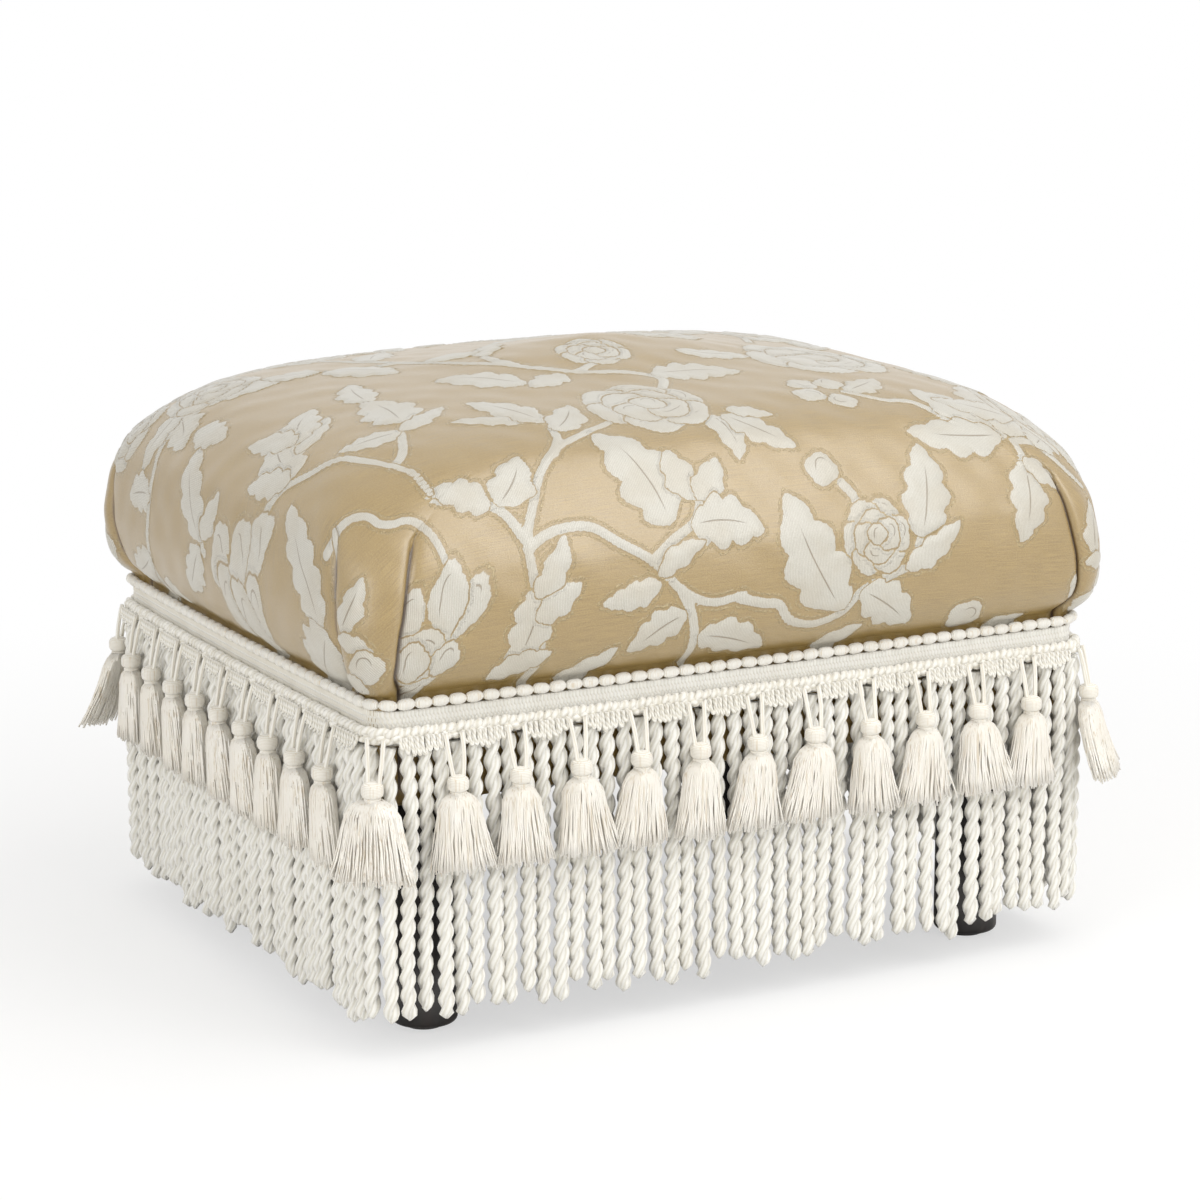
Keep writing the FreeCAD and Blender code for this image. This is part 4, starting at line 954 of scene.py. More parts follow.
# %% Growth on the left side
LEFT_STEMS = (
    (
        (-42, 40), (-62, 58), (-73, 78), (-80, 94), (-86, 107), (-97, 120), (-102, 129),
        (-109, 138), (-121, 144), (-130, 149), (-140, 154), (-152, 160), (-164, 161), (-172, 162),
    ),
    ((-154, 102), (-161, 92), (-163, 80), (-162, 66)),
    ((0, 52), (8, 68), (20, 92)),
    ((104, 150), (92, 132), (84, 110), (82, 84), (88, 60), (96, 30), (92, -4)),
    ((104, 150), (128, 156), (150, 150), (172, 128)),
)
LEFT_LEAVES = (
    (2, 58, 32, 108, 30, 3, 3, 1),
    (2, 60, -18, 89, 16, -2, 2, 0),
    (6, 54, 35, 24, 24, 2, 3, 1),
    (-148, 44, -103, 99, 32, -4, 4, 1),
    (-152, 44, -118, 2, 42, 3, 4, 1),
    (-86, 115, -38, 131, 31, 4, 3, 1),
    (-86, 111, -50, 98, 20, 0, 3, 0),
    (-70, 127, -42, 160, 14, -2, 3, 0),
    (-40, 186, 6, 196, 22, 3, 3, 1),
    (102, 138, 60, 174, 36, -3, 4, 1),
    (88, 122, 54, 104, 28, 2, 3, 1),
    (94, 132, 100, 84, 22, 3, 3, 1),
    (52, 117, 14, 118, 22, 0, 3, 0),
    (84, 72, 120, 66, 24, -2, 3, 1),
    (94, 34, 138, 20, 24, 3, 3, 1),
    (86, 20, 62, 6, 16, 0, 2, 0),
    (150, 150, 140, 200, 24, 3, 3, 1),
    (96, 4, 120, -6, 14, 0, 2, 0),
)
LEFT_PETALS = (
    ((-72, 70), 11, -0.66, 2.3),
    ((-24, 55), 11, -0.35, 1.9),
    ((-50, 60), 11, -0.46, 2.2),
    ((-65, 33), 9, 3.0, 2.4),
    ((-29, 28), 11, -3.1, 2.2),
    ((-52, 22), 12, -2.77, 2.2),
)
LEFT_ROSES = (((146, 108), 30, 1.2),)
print("leaves on the left side:", len(LEFT_LEAVES))

# %% Growth on the top
TOP_STEMS = (
    (
        (-6, -98), (2, -82), (-8, -68), (-38, -56), (-62, -34), (-86, -2), (-104, 38), (-118, 72),
        (-132, 112),
    ),
    ((-104, 38), (-122, 44), (-142, 56)),
    ((-62, -34), (-70, -10), (-62, 20), (-40, 44), (-8, 54), (22, 46), (44, 26)),
    ((-132, 112), (-112, 142), (-76, 152), (-40, 146), (-6, 128), (30, 120), (66, 128)),
    ((66, 128), (96, 116), (118, 92), (128, 64), (124, 36), (112, 10)),
    ((128, 64), (150, 74), (172, 94), (186, 124)),
    ((-38, -56), (-16, -44)),
)
TOP_LEAVES = (
    (0, -74, 54, -78, 30, 3, 4, 1),
    (36, -36, 80, -46, 18, -2, 3, 1),
    (-46, -58, -74, -72, 20, 0, 2, 0),
    (-74, -66, -112, -28, 28, -3, 3, 1),
    (-144, 54, -118, 10, 26, 3, 3, 1),
    (-146, 58, -172, 80, 24, 2, 3, 1),
    (-112, 60, -86, 96, 24, 3, 3, 1),
    (-70, 0, -46, 26, 18, 3, 2, 0),
    (-66, 12, -96, 24, 16, -2, 2, 0),
    (-20, 52, -8, 88, 24, 2, 3, 1),
    (10, 50, 26, 80, 18, -2, 3, 0),
    (-90, 152, -60, 172, 18, 2, 3, 0),
    (-40, 146, -52, 112, 22, 3, 3, 1),
    (126, 44, 156, 30, 22, -2, 3, 1),
    (122, 88, 92, 74, 24, 2, 3, 1),
    (160, 82, 196, 70, 22, 2, 3, 1),
    (176, 100, 150, 126, 22, 0, 3, 1),
    (20, 122, 34, 94, 18, 2, 2, 1),
    (-212, -58, -184, -20, 26, 3, 3, 1),
    (-212, -56, -226, -20, 20, -2, 3, 0),
    (-178, 96, -206, 132, 30, 3, 3, 1),
)
TOP_ROSES = (
    ((-14, -30), 22, 0.5),
    ((122, -48), 44, 0.2),
    ((52, 22), 30, 1.0),
    ((-196, 100), 30, 0.7),
    ((76, 134), 34, 0.1),
    ((192, 136), 24, 0.4),
    ((-126, 124), 26, 1.3),
)


print("leaves on the top:", len(TOP_LEAVES))

# %% Growth on the corner strips
STRIP_LEAVES = (
    (-11, 43, -2, 73, 16, 0, 2, 1),
    (-16, 39, 8, 33, 10, 2, 2, 0),
)
STRIP_PETALS = (((3, 26), 9, 0.5, 1.0), ((-6, 12), 9, 2.2, 1.0))


def gathered(to_cloth, stems, leaves, roses, petals=()):
    """The shapes of one face in drawing order: stems below, then leaves, then flowers."""
    shapes = []
    if stems:
        shapes.append(vine([[to_cloth(*point) for point in line] for line in stems]))
    for x, rise, tip_x, tip_rise, *form in leaves:
        shapes.append(leaf(to_cloth(x, rise), to_cloth(tip_x, tip_rise), *form))
    for centre, radius, turn, long in petals:
        shapes.append(petal(to_cloth(*centre), radius, turn, lobes=4, depth=0.18, flat=long))
    for centre, radius, turn in roses:
        shapes += rose(to_cloth(*centre), radius, turn)
    return shapes


figure = []
for number in range(4):
    figure += gathered(corner(number), (), STRIP_LEAVES, (), STRIP_PETALS)
for face in (front, rear):
    figure += gathered(face, FRONT_STEMS, FRONT_LEAVES, FRONT_ROSES, FRONT_PETALS)
for face in (left, far_side):
    figure += gathered(face, LEFT_STEMS, LEFT_LEAVES, LEFT_ROSES, LEFT_PETALS)
figure += gathered(top, TOP_STEMS, TOP_LEAVES, TOP_ROSES)
print("shapes in the figure:", len(figure))

# %% [markdown]
# ### The figure on the cover's faces
# Every face of the cover grid is about two millimetres high, too coarse for a crisp edge if it
# only held a colour. So each corner of a face keeps distances instead: how far it is from the
# border of the uppermost shape near that face, how far from the border of the next one below, and
# how far from the nearest vein. The satin's finish turns those distances into edges that are sharp
# at any size. A last value says whether ivory lies under both shapes.

# %% Distances for the figure
BORDER_REACH = 3.4
WELL_INSIDE = -4.0


def shapes_near(places, margin):
    """For each shape with places within a margin of it: its number, their numbers and gaps."""
    for number, (middle, reach, measure) in enumerate(figure):
        apart = np.abs(places - middle).max(axis=1)
        near = np.nonzero(apart < reach + margin)[0]
        if len(near):
            yield number, near, measure(places[near])[0]


def laid_over(places):
    """For each place, the uppermost shape near it, the next one, and whether ivory is below."""
    upper = np.full(len(places), -1)
    under = np.full(len(places), -1)
    under_gap = np.full(len(places), FAR_OUT)
    upper_gap = under_gap.copy()
    backing = np.zeros(len(places), bool)
    for number, near, gap in shapes_near(places, BORDER_REACH):
        near, gap = near[gap < BORDER_REACH], gap[gap < BORDER_REACH]
        backing[near] |= under_gap[near] < 0
        under[near], under_gap[near] = upper[near], upper_gap[near]
        upper[near], upper_gap[near] = number, gap
        covered = near[gap < WELL_INSIDE]
        under[covered], under_gap[covered], backing[covered] = -1, FAR_OUT, False
    return upper, under, backing


def figure_rise(places):
    """How far each place lies from the nearest border that shows, and whether it is inside."""
    rise = np.full(len(places), FAR_OUT)
    inside = np.zeros(len(places), bool)
    for _, near, gap in shapes_near(places, FAR_OUT):
        within = gap < 0
        rise[near] = np.where(within, -gap, np.minimum(rise[near], gap))
        inside[near] |= within
    return rise, inside


print("a leaf's middle is in the figure:", figure_rise(np.array([front(-64, 118)]))[1])

# %% Distances at the corners
faces_down, columns = cloth.shape[0] - 1, cloth.shape[1]
next_column = (np.arange(columns) + 1) % columns
face_in_strip = (strip_round & strip_round[next_column])[None, :, None, None]


def at_corners(table):
    """Values of a grid of points at the four corners of each of its faces."""
    low, high = table[:-1], table[1:]
    return np.stack([low, low[:, next_column], high[:, next_column], high], axis=2)


corner_places = np.where(face_in_strip, at_corners(cloth), at_corners(open_cloth)) / MM
corner_places = corner_places.reshape(-1, 4, 2)
upper, under, backing = laid_over(corner_places.mean(axis=1))
edge = np.full((len(corner_places), 4), FAR_OUT)
under_edge, vein, stroke = edge.copy(), edge.copy(), edge * 0 + NO_STROKE
for number, (_, _, measure) in enumerate(figure):
    for chosen, target in ((upper, edge), (under, under_edge)):
        rows_hit = np.nonzero(chosen == number)[0]
        if len(rows_hit):
            found = measure(corner_places[rows_hit].reshape(-1, 2))
            target[rows_hit] = found[0].reshape(-1, 4)
            if target is edge:
                vein[rows_hit] = found[1].reshape(-1, 4)
                stroke[rows_hit] = found[2].reshape(-1, 4)
print("faces with a figure:", int((upper >= 0).sum()), "of", len(upper))

# %% [markdown]
# ## The seat cover
# The cloth between the two creases of a corner bulges, and each crease is a valley, softer on the
# face's side than on the strip's. A valley's depth falls off as e to the power of minus the
# distance over its softness, and it dies out between two heights at the shoulder. The whole shape
# is a lift along the surface's own outward direction, which a grid gives as the cross product of
# its two directions.

# %% Creases
CREASE_DEPTH = 4.2 * MM
FIRST_SOFT = (2.8 * MM, 1.4 * MM)
SECOND_SOFT = (4.6 * MM, 2.2 * MM)
FIRST_ENDS = (270 * MM, 290 * MM)
SECOND_ENDS = (258 * MM, 280 * MM)
STRIP_BULGE = 1.8 * MM
BULGE_ROUNDNESS = 0.7

upright = np.broadcast_to(heights[:, None, None], plan[..., :1].shape)
surface = np.concatenate([plan, upright], axis=-1)
rising = np.gradient(surface, axis=0)
onward = np.roll(surface, -1, axis=1) - np.roll(surface, 1, axis=1)
normal = unit(np.cross(onward, rising))

crease_one = distances[:, FACE_COLUMNS, None]
crease_two = distances[:, FACE_COLUMNS + STRIP_COLUMNS, None]
between = np.clip((distances - crease_one) / (crease_two - crease_one), 0, 1)
first_away, second_away = crease_one - distances, distances - crease_two
dent = np.zeros_like(distances)
for away, soft, ends in (
    (first_away, FIRST_SOFT, FIRST_ENDS), (second_away, SECOND_SOFT, SECOND_ENDS),
):
    valley = np.exp(-np.abs(away) / np.where(away > 0, *soft))
    dent += valley * (1 - ramp(heights[:, None], *ends))
bulge = STRIP_BULGE * np.sin(np.pi * between) ** BULGE_ROUNDNESS * folded
lift = all_round(bulge - CREASE_DEPTH * dent)
crease = all_round(np.clip(dent, 0, 1))
print("deepest crease:", round(-lift.min() / MM, 1), "mm")

# %% [markdown]
# ### The raised figure
# The woven figure stands up a little from the satin, and the satin is pinched in just beside it. A
# slow unevenness of a few tenths of a millimetre, two products of sines of the cloth's places,
# keeps the satin from looking like a moulding.

# %% Raised figure
FIGURE_HEIGHT = 0.8 * MM
FIGURE_SHOULDER = 2.4
PINCH_REACH = 2.2
PINCH_SHARE = 0.3
UNEVENNESS = 0.28 * MM

places = np.where(strip_round[:, None], cloth, open_cloth).reshape(-1, 2) / MM
rise, inside = figure_rise(places)
puff = np.where(inside, ramp(rise, -0.3, FIGURE_SHOULDER), 0) * FIGURE_HEIGHT
pinch = np.where(inside, 0, 1 - ramp(rise, 0, PINCH_REACH)) * FIGURE_HEIGHT * PINCH_SHARE
u, v = places.T
uneven = (
    np.sin(u * 0.11 + 1.3 * np.sin(v * 0.05)) * np.sin(v * 0.13 + 0.9 * np.sin(u * 0.06))
    + 0.6 * np.sin(u * 0.23 + v * 0.19) * np.sin(v * 0.071 - u * 0.043)
) * UNEVENNESS
lift = lift + (puff - pinch + uneven).reshape(lift.shape)
surface = surface + normal * lift[..., None]
print("points inside the figure:", int(inside.sum()), "of", len(inside))

# %% [markdown]
# ### The cover as a closed shell
# The cover is one closed cloth shell: up the outside from the hem, over the crown, and back down
# the inside, with a hem folded in below the trim. The inside doesn't show, so it has only every
# sixth level.

# %% Cover shell
CLOTH_THICK = 1.2 * MM
HEM_WIDE = 20 * MM
INNER_STEP = 6

low_bend = LOW_ROWS + 3 * INNER_STEP
inner_rows = np.concatenate(
    [np.arange(len(surface) - 1, low_bend, -INNER_STEP), np.arange(low_bend, 0, -1)]
)
inner = surface[inner_rows] - normal[inner_rows] * CLOTH_THICK
hem_ring = np.concatenate([plan[0], upright[0] * 0], axis=-1)
inward = np.concatenate([outward[0], upright[0] * 0], axis=-1) * -1
rim = []
for depth, height in (
    (CLOTH_THICK, cover_low[2] + 2 * CLOTH_THICK),
    (CLOTH_THICK, cover_low[2] + CLOTH_THICK),
    (HEM_WIDE, cover_low[2] + CLOTH_THICK),
    (HEM_WIDE, cover_low[2]),
    (CLOTH_THICK, cover_low[2]),
    (0.3 * CLOTH_THICK, cover_low[2] + 0.3 * CLOTH_THICK),
):
    rim.append(hem_ring + inward * depth + np.array([0, 0, height]))
shell = np.concatenate([inner, np.stack(rim), surface])
shell_rows = len(shell)
walls = grid(shell_rows, columns, closed=True)
caps = np.stack([np.arange(columns)[::-1], np.arange(columns) + (shell_rows - 1) * columns])
print("shell grid:", shell_rows, "by", columns)

# %% [markdown]
# ### Satin with a woven figure
# The ground is gold satin: long warp threads lie flat over it, so it shines in fine streaks along
# the width of the cloth. The figure is a ribbed ivory weave, duller, with thin darker strokes for
# the veins and a thin tan line round it. Over ivory that line is the ground showing where the two
# weaves bind, and over the ground it is painted shade along the raised edge. The finish also paints
# shade into the creases and the valleys of the ribs, a highlight onto the puckered ring round each
# shape, and glints as lighter specks in the satin's grain.
#
# The finish is some fifty small steps, so it is written as a table rather than as calls. A row
# names its result, the step, and what goes into it: an earlier result or a plain number. SOFT is a
# smooth change while a value goes between two limits, from 0 to 1 where no ends are given. MIX goes
# from one value to another by a share, and the other steps are plain sums.

# %% Cover values
satin, tree, shader = finish(
    "gold_satin", Roughness=0.4, Specular_IOR_Level=1.0, Coat_Weight=1.0, Coat_Roughness=0.35
)
value = {}
for name in ("edge", "under_edge", "backing", "vein", "stroke", "crease"):
    kept = add(tree, "Attribute", attribute_name=name, attribute_type="GEOMETRY")
    value[name] = kept.outputs["Fac"]
cloth_uv = add(tree, "UVMap", uv_map="places").outputs[0]
split = add(tree, "SeparateXYZ", {0: cloth_uv})
value["u"], value["v"] = split.outputs[0], split.outputs[1]

# Noise spread out along the threads: how many times per millimetre along u and v, and its detail.
THREAD_NOISE = (
    ("fray", 0.9, 1.1, 2.0),
    ("streak", 0.06, 1.4, 3.0),
    ("cloud", 0.025, 0.03, 3.0),
    ("speck", 1.1, 1.6, 3.0),
    ("pucker", 0.5, 0.5, 3.0),
)
for name, along_u, along_v, detail in THREAD_NOISE:
    spread = add(tree, "VectorMath", {0: cloth_uv, 1: (along_u, along_v, 1)}, operation="MULTIPLY")
    inputs = {"Vector": spread.outputs[0], "Scale": 1.0, "Detail": detail, "Roughness": 0.6}
    value[name] = add(tree, "TexNoise", inputs, noise_dimensions="2D").outputs["Fac"]
print("values on the cloth:", ", ".join(value))

# %% Cover recipe
RIB_SPACING = 0.95
WEFT_SPACING = 0.7
RECIPE = (
    # a shape's border is frayed by half a millimetre, and its zone ends a little outside it
    ("frayed", "MULTIPLY_ADD", "fray", 0.9, -0.45),
    ("below_gap", "ADD", "under_edge", "frayed"),
    ("below_in", "SOFT", "below_gap", -0.22, 0.22, 1.0, 0.0),
    ("below_zone", "SOFT", "below_gap", 0.5, 1.1, 1.0, 0.0),
    ("above_gap", "ADD", "edge", "frayed"),
    ("above_in", "SOFT", "above_gap", -0.22, 0.22, 1.0, 0.0),
    ("above_zone", "SOFT", "above_gap", 0.5, 1.1, 1.0, 0.0),
    # the tan line is the zone without the shape, stronger on ivory; over the ground it is painted
    # shade
    ("ivory_below", "MIX", "below_zone", "backing", "below_in"),
    ("on_ivory", "MIX", "ivory_below", 0.32, 0.5),
    ("just_outside", "SUBTRACT", "above_zone", "above_in"),
    ("line", "MULTIPLY", "just_outside", "on_ivory"),
    ("ivory", "MIX", "above_zone", "ivory_below", "above_in"),
    # a vein is drawn where the stroke is wider than the distance from the midline
    ("from_vein", "ABSOLUTE", "vein"),
    ("stroke_left", "SUBTRACT", "stroke", "from_vein"),
    ("vein_line", "SOFT", "stroke_left", -0.15, 0.15),
    ("drawn", "MULTIPLY", "vein_line", "above_in"),
    # the satin puckers in a narrow ring one to three millimetres outside a shape; its colour is a
    # painted highlight
    ("ring_start", "SOFT", "above_gap", 1.0, 1.9),
    ("ring_end", "SOFT", "above_gap", 2.1, 3.1, 1.0, 0.0),
    ("ring", "MULTIPLY", "ring_start", "ring_end"),
    ("puckered", "SOFT", "pucker", 0.35, 0.65),
    ("ripple", "MULTIPLY", "ring", "puckered"),
    ("rib_turn", "MULTIPLY", "u", 2 * math.pi / RIB_SPACING),
    ("ribs", "SINE", "rib_turn"),
    ("weft_turn", "MULTIPLY", "v", 2 * math.pi / WEFT_SPACING),
    ("weft", "SINE", "weft_turn"),
    # how much of each colour is laid on
    ("streaks", "SOFT", "streak", 0.3, 0.7),
    ("clouds", "SOFT", "cloud", 0.35, 0.65, 0.0, 0.6),
    # lighter specks in the ground: the satin's grain, painted as glints
    ("specks", "SOFT", "speck", 0.35, 0.7, 0.0, 0.4),
    # how much painted highlight the pucker ring gets
    ("ripple_highlight", "MULTIPLY", "ripple", 0.55),
    ("ivory_clouds", "SOFT", "cloud", 0.4, 0.65),
    ("ivory_specks", "SOFT", "speck", 0.3, 0.7, 0.35, 0.0),
    ("rib_shade", "SOFT", "ribs", -1.0, 1.0, 0.5, 0.0),
    ("vein_shade", "MULTIPLY", "drawn", 0.8),
    ("crease_shade", "SOFT", "crease", 0.45, 0.86, 0.0, 0.94),
    # the satin is glossy in streaks, the figure dull and its line duller
    ("gloss", "SOFT", "streak", 0.3, 0.7, 0.3, 0.4),
    ("dull", "MIX", "ivory", "gloss", 0.7),
    ("roughness", "MIX", "line", "dull", 0.8),
    # the relief, in millimetres
    ("ivory_rib", "MULTIPLY", "ivory", 0.08),
    ("rib_relief", "MULTIPLY", "ribs", "ivory_rib"),
    ("with_line", "MULTIPLY_ADD", "line", -0.3, "rib_relief"),
    ("with_veins", "MULTIPLY_ADD", "drawn", -0.3, "with_line"),
    ("with_ripple", "MULTIPLY_ADD", "ripple", 0.55, "with_veins"),
    ("with_specks", "MULTIPLY_ADD", "speck", 0.16, "with_ripple"),
    ("with_streaks", "MULTIPLY_ADD", "streak", 0.06, "with_specks"),
    ("weft_rise", "MULTIPLY", "weft", 0.03),
    ("relief", "MULTIPLY_ADD", "weft_rise", "ivory", "with_streaks"),
)
for result, step, *terms in RECIPE:
    terms = [value.get(term, term) for term in terms]
    if step == "SOFT":
        names = ("Value", "From Min", "From Max", "To Min", "To Max")
        inputs = dict(zip(names, terms))
        value[result] = add(tree, "MapRange", inputs, interpolation_type="SMOOTHSTEP").outputs[0]
    elif step == "MIX":
        inputs = dict(zip((0, 2, 3), terms))
        value[result] = add(tree, "Mix", inputs, data_type="FLOAT").outputs[0]
    else:
        value[result] = add(tree, "Math", dict(enumerate(terms)), operation=step).outputs[0]
print("steps in the cover's finish:", len(RECIPE))

# %% Cover colours
LAYERS = (
    ("ground", "streaks", "#856A33", "#997E44"),
    ("ground", "clouds", "ground", "#91763F"),
    # lighter specks: the satin's grain with painted glints
    ("ground", "specks", "ground", "#AB955E"),
    # a painted highlight on the puckered ring round each shape
    ("ground", "ripple_highlight", "ground", "#BDAA78"),
    ("raised", "ivory_clouds", "#CCC9BF", "#C5BFB1"),
    ("raised", "ivory_specks", "raised", "#AEA695"),
    ("raised", "rib_shade", "raised", "#A39B87"),
    ("colour", "ivory", "ground", "raised"),
    # the tan line: the ground showing over ivory, and painted shade along the raised edge over the
    # ground
    ("colour", "line", "colour", "#7A653C"),
    ("colour", "vein_shade", "colour", "#86765D"),
    ("colour", "crease_shade", "colour", "#4A300A"),
)
for result, share, under, over in LAYERS:
    under, over = (linear(name) if name[0] == "#" else value[name] for name in (under, over))
    mixed = add(tree, "Mix", {0: value[share], 6: under, 7: over}, data_type="RGBA")
    value[result] = mixed.outputs[2]
bump = add(tree, "Bump", {"Strength": 1.0, "Distance": MM, "Height": value["relief"]})
wire(tree, shader, {
    "Base Color": value["colour"], "Roughness": value["roughness"], "Normal": bump.outputs[0],
})
print("layers of colour:", len(LAYERS))

# %% Cover piece
outer_start = (shell_rows - 1 - faces_down) * columns
shell_places = np.zeros((len(walls), 4, 2))
shell_places[outer_start:] = corner_places
cover = piece(
    "satin_cover", shell, [walls, caps], satin, "cover_satin",
    places=[shell_places.ravel(), np.zeros(caps.size * 2)],
)
for name, values, plain in (
    ("edge", edge, FAR_OUT),
    ("under_edge", under_edge, FAR_OUT),
    ("vein", vein, FAR_OUT),
    ("stroke", stroke, -1.0),
    ("backing", np.repeat(backing[:, None], 4, axis=1), 0.0),
    ("crease", at_corners(crease), 0.0),
):
    whole = np.full(walls.size + caps.size, plain, np.float32)
    whole[outer_start * 4 : walls.size] = values.ravel()
    layer = cover.data.attributes.new(name, "FLOAT", "CORNER")
    layer.data.foreach_set("value", whole)
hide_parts("seat_cover")

# %% [markdown]
# ## Places along the trim
# Everything on the trim is set out from one outline, the cover's own just under the beads. A side
# runs from the middle of one corner to the middle of the next.

# %% Sides of the trim
SIDES = ("front", "back", "left", "right")


def trim_arcs(stand):
    """The arcs of the trim's outline, moved outwards by a distance."""
    sizes = (half_x + stand, half_y + stand, TRIM_BOW, TRIM_BOW, TRIM_CORNER + stand)
    return arcs(*(np.array([size]) for size in sizes))


def side_half(side, stand=0.0):
    """Half the length of a side, from its middle to the middle of its corner."""
    _, radii, turns = trim_arcs(stand)
    lengths = run_lengths(radii, turns)[0]
    to_corner = lengths[0] + lengths[1] / 2
    return to_corner if side in ("front", "back") else lengths.sum() - to_corner


def stations(side, distances, stand=0.0):
    """Points and outward directions on a side, at distances from its middle, seen from outside."""
    shape = trim_arcs(stand)
    distances = np.asarray(distances, float)
    flip = np.where(distances < 0, -1, 1)
    long_side = side in ("front", "back")
    whole = run_lengths(shape[1], shape[2]).sum()
    along = np.abs(distances) if long_side else whole - np.abs(distances)
    point, away = (found[0] for found in on_outline(shape, along[None]))
    signs = np.stack([flip, flip * 0 + 1] if long_side else [flip * 0 + 1, -flip], axis=-1)
    turned = 1 if side in ("front", "right") else -1
    return point * signs * turned, away * signs * turned


def even_places(half, count):
    """Places for a number of things spread evenly over a side, none at its ends."""
    return (np.arange(count) + 0.5) * 2 * half / count - half


print("half sides:", [round(side_half(side) / MM) for side in SIDES], "mm")

# %% [markdown]
# ### Setting out
# A small piece is made facing straight out at the origin, as along, outwards and up, and is then
# set out at its place. A cord that runs all round is a line at a distance from the outline.

# %% Setting out


def all_round_line(count):
    """Points, outward directions and distances of a whole ring in a number of even steps."""
    shape = trim_arcs(0.0)
    quarter = count // 4
    whole = run_lengths(shape[1], shape[2]).sum()
    point, away = rings(shape, np.linspace(0, whole, quarter + 1)[None])
    return point[0], away[0], np.arange(count) * whole / quarter


def set_out(local, point, away):
    """Places given as along, outwards and up from a spot on the trim, as places on the stool."""
    onward = np.stack([-away[:, 1], away[:, 0]], axis=-1)
    extra = (slice(None),) + (None,) * (local.ndim - 2)
    flat = point[extra] + onward[extra] * local[..., 0:1] + away[extra] * local[..., 1:2]
    up = np.broadcast_to(local[..., 2:3], flat[..., :1].shape)
    return np.concatenate([flat, up], axis=-1)


def course(along, outwards, up):
    """A line's places from how far along, outwards and up it goes, spread to one shape."""
    return np.stack(np.broadcast_arrays(along, outwards, up), axis=-1)


def round_line(point, away, stand, height):
    """A line round the seat that stands out and rises by given distances."""
    return np.concatenate([point + away * stand[:, None], height[:, None]], axis=-1)


def overlapped(line, extra=2):
    """A ring's points with a few repeated, so that a tube along them closes on itself."""
    return np.concatenate([line[-extra:], line, line[:extra]])


stretch = 2 * (side_half("front") + side_half("left")) * 2
print("once round the seat:", round(stretch / MM), "mm")

# %% [markdown]
# ## Yarns and threads
# The whole trim is one off-white, in four qualities: a matt ribbed braid, woven beads, round
# twisted cord and lustrous straight thread. Twisted yarn shows fine slanting lines round it, which
# the finish draws from each tube's own places: the share of a turn and the length along it. Each
# line is a bump with painted shade in its valley. Fine hairs, of which about one fits in a
# millimetre, break the light up, and slow patches keep a long row of the same yarn from looking
# painted.

# %% Yarn finish
HAIRS = 1.1 / MM
HAIR_PATCHES = 0.045 / MM
FINE_STRANDS = 0.9 / MM
STRAND_STRETCH = 0.03


def yarn(name, light, shade, plies, lay, depth, dullness, fibre=0.35, sheen=0.5):
    """A twisted yarn. Its lines are a wave over turns times plies plus length over lay.

    The lay is in millimetres, the depth of the relief too. A yarn of no plies shows fine straight
    strands instead.
    """
    material, tree, shader = finish(name, Roughness=dullness, Sheen_Weight=sheen)
    body = add(tree, "TexCoord").outputs["Object"]
    split = add(tree, "SeparateXYZ", {0: add(tree, "UVMap", uv_map="places").outputs[0]})
    turns = add(tree, "Math", {0: split.outputs[0], 1: plies}, operation="MULTIPLY")
    inputs = {0: split.outputs[1], 1: 1 / lay, 2: turns.outputs[0]}
    phase = add(tree, "Math", inputs, operation="MULTIPLY_ADD")
    angle = add(tree, "Math", {0: phase.outputs[0], 1: 2 * math.pi}, operation="MULTIPLY")
    wave = add(tree, "Math", {0: angle.outputs[0]}, operation="SINE").outputs[0]
    hairs = add(tree, "TexNoise", {"Vector": body, "Scale": HAIRS, "Detail": 2.0, "Roughness": 0.6})
    patch = add(tree, "TexNoise", {"Vector": body, "Scale": HAIR_PATCHES, "Detail": 2.0})
    # painted shade: the colour darkens towards the shade colour in the wave's valleys
    inputs = {"Value": wave, "From Min": -1.0, "From Max": 0.2, "To Min": 0.75, "To Max": 0.0}
    valley = add(tree, "MapRange", inputs)
    inputs = {0: patch.outputs["Fac"], 6: linear(light), 7: linear(shade)}
    colour = add(tree, "Mix", inputs, data_type="RGBA").outputs[2]
    inputs = {0: valley.outputs[0], 6: colour, 7: linear(shade)}
    colour = add(tree, "Mix", inputs, data_type="RGBA", blend_type="MULTIPLY").outputs[2]
    if not plies:
        thin = add(tree, "VectorMath", {0: body, 1: (1, 1, STRAND_STRETCH)}, operation="MULTIPLY")
        inputs = {"Vector": thin.outputs[0], "Scale": FINE_STRANDS, "Detail": 1.0}
        strand = add(tree, "TexNoise", inputs).outputs["Fac"]
        gap = add(tree, "MapRange", {"Value": strand, "From Min": 0.55, "From Max": 0.75})
        inputs = {0: gap.outputs[0], 6: colour, 7: linear("#D9CDB8")}
        colour = add(tree, "Mix", inputs, data_type="RGBA").outputs[2]
    fuzz = add(tree, "Math", {0: hairs.outputs["Fac"], 1: fibre}, operation="MULTIPLY").outputs[0]
    relief = add(tree, "Math", {0: wave, 1: 0.5, 2: fuzz}, operation="MULTIPLY_ADD").outputs[0]
    bump = add(tree, "Bump", {"Strength": 1.0, "Distance": depth * MM, "Height": relief})
    inputs = {"Base Color": colour, "Normal": bump.outputs[0], "Sheen Roughness": 0.5}
    wire(tree, shader, inputs)
    return material


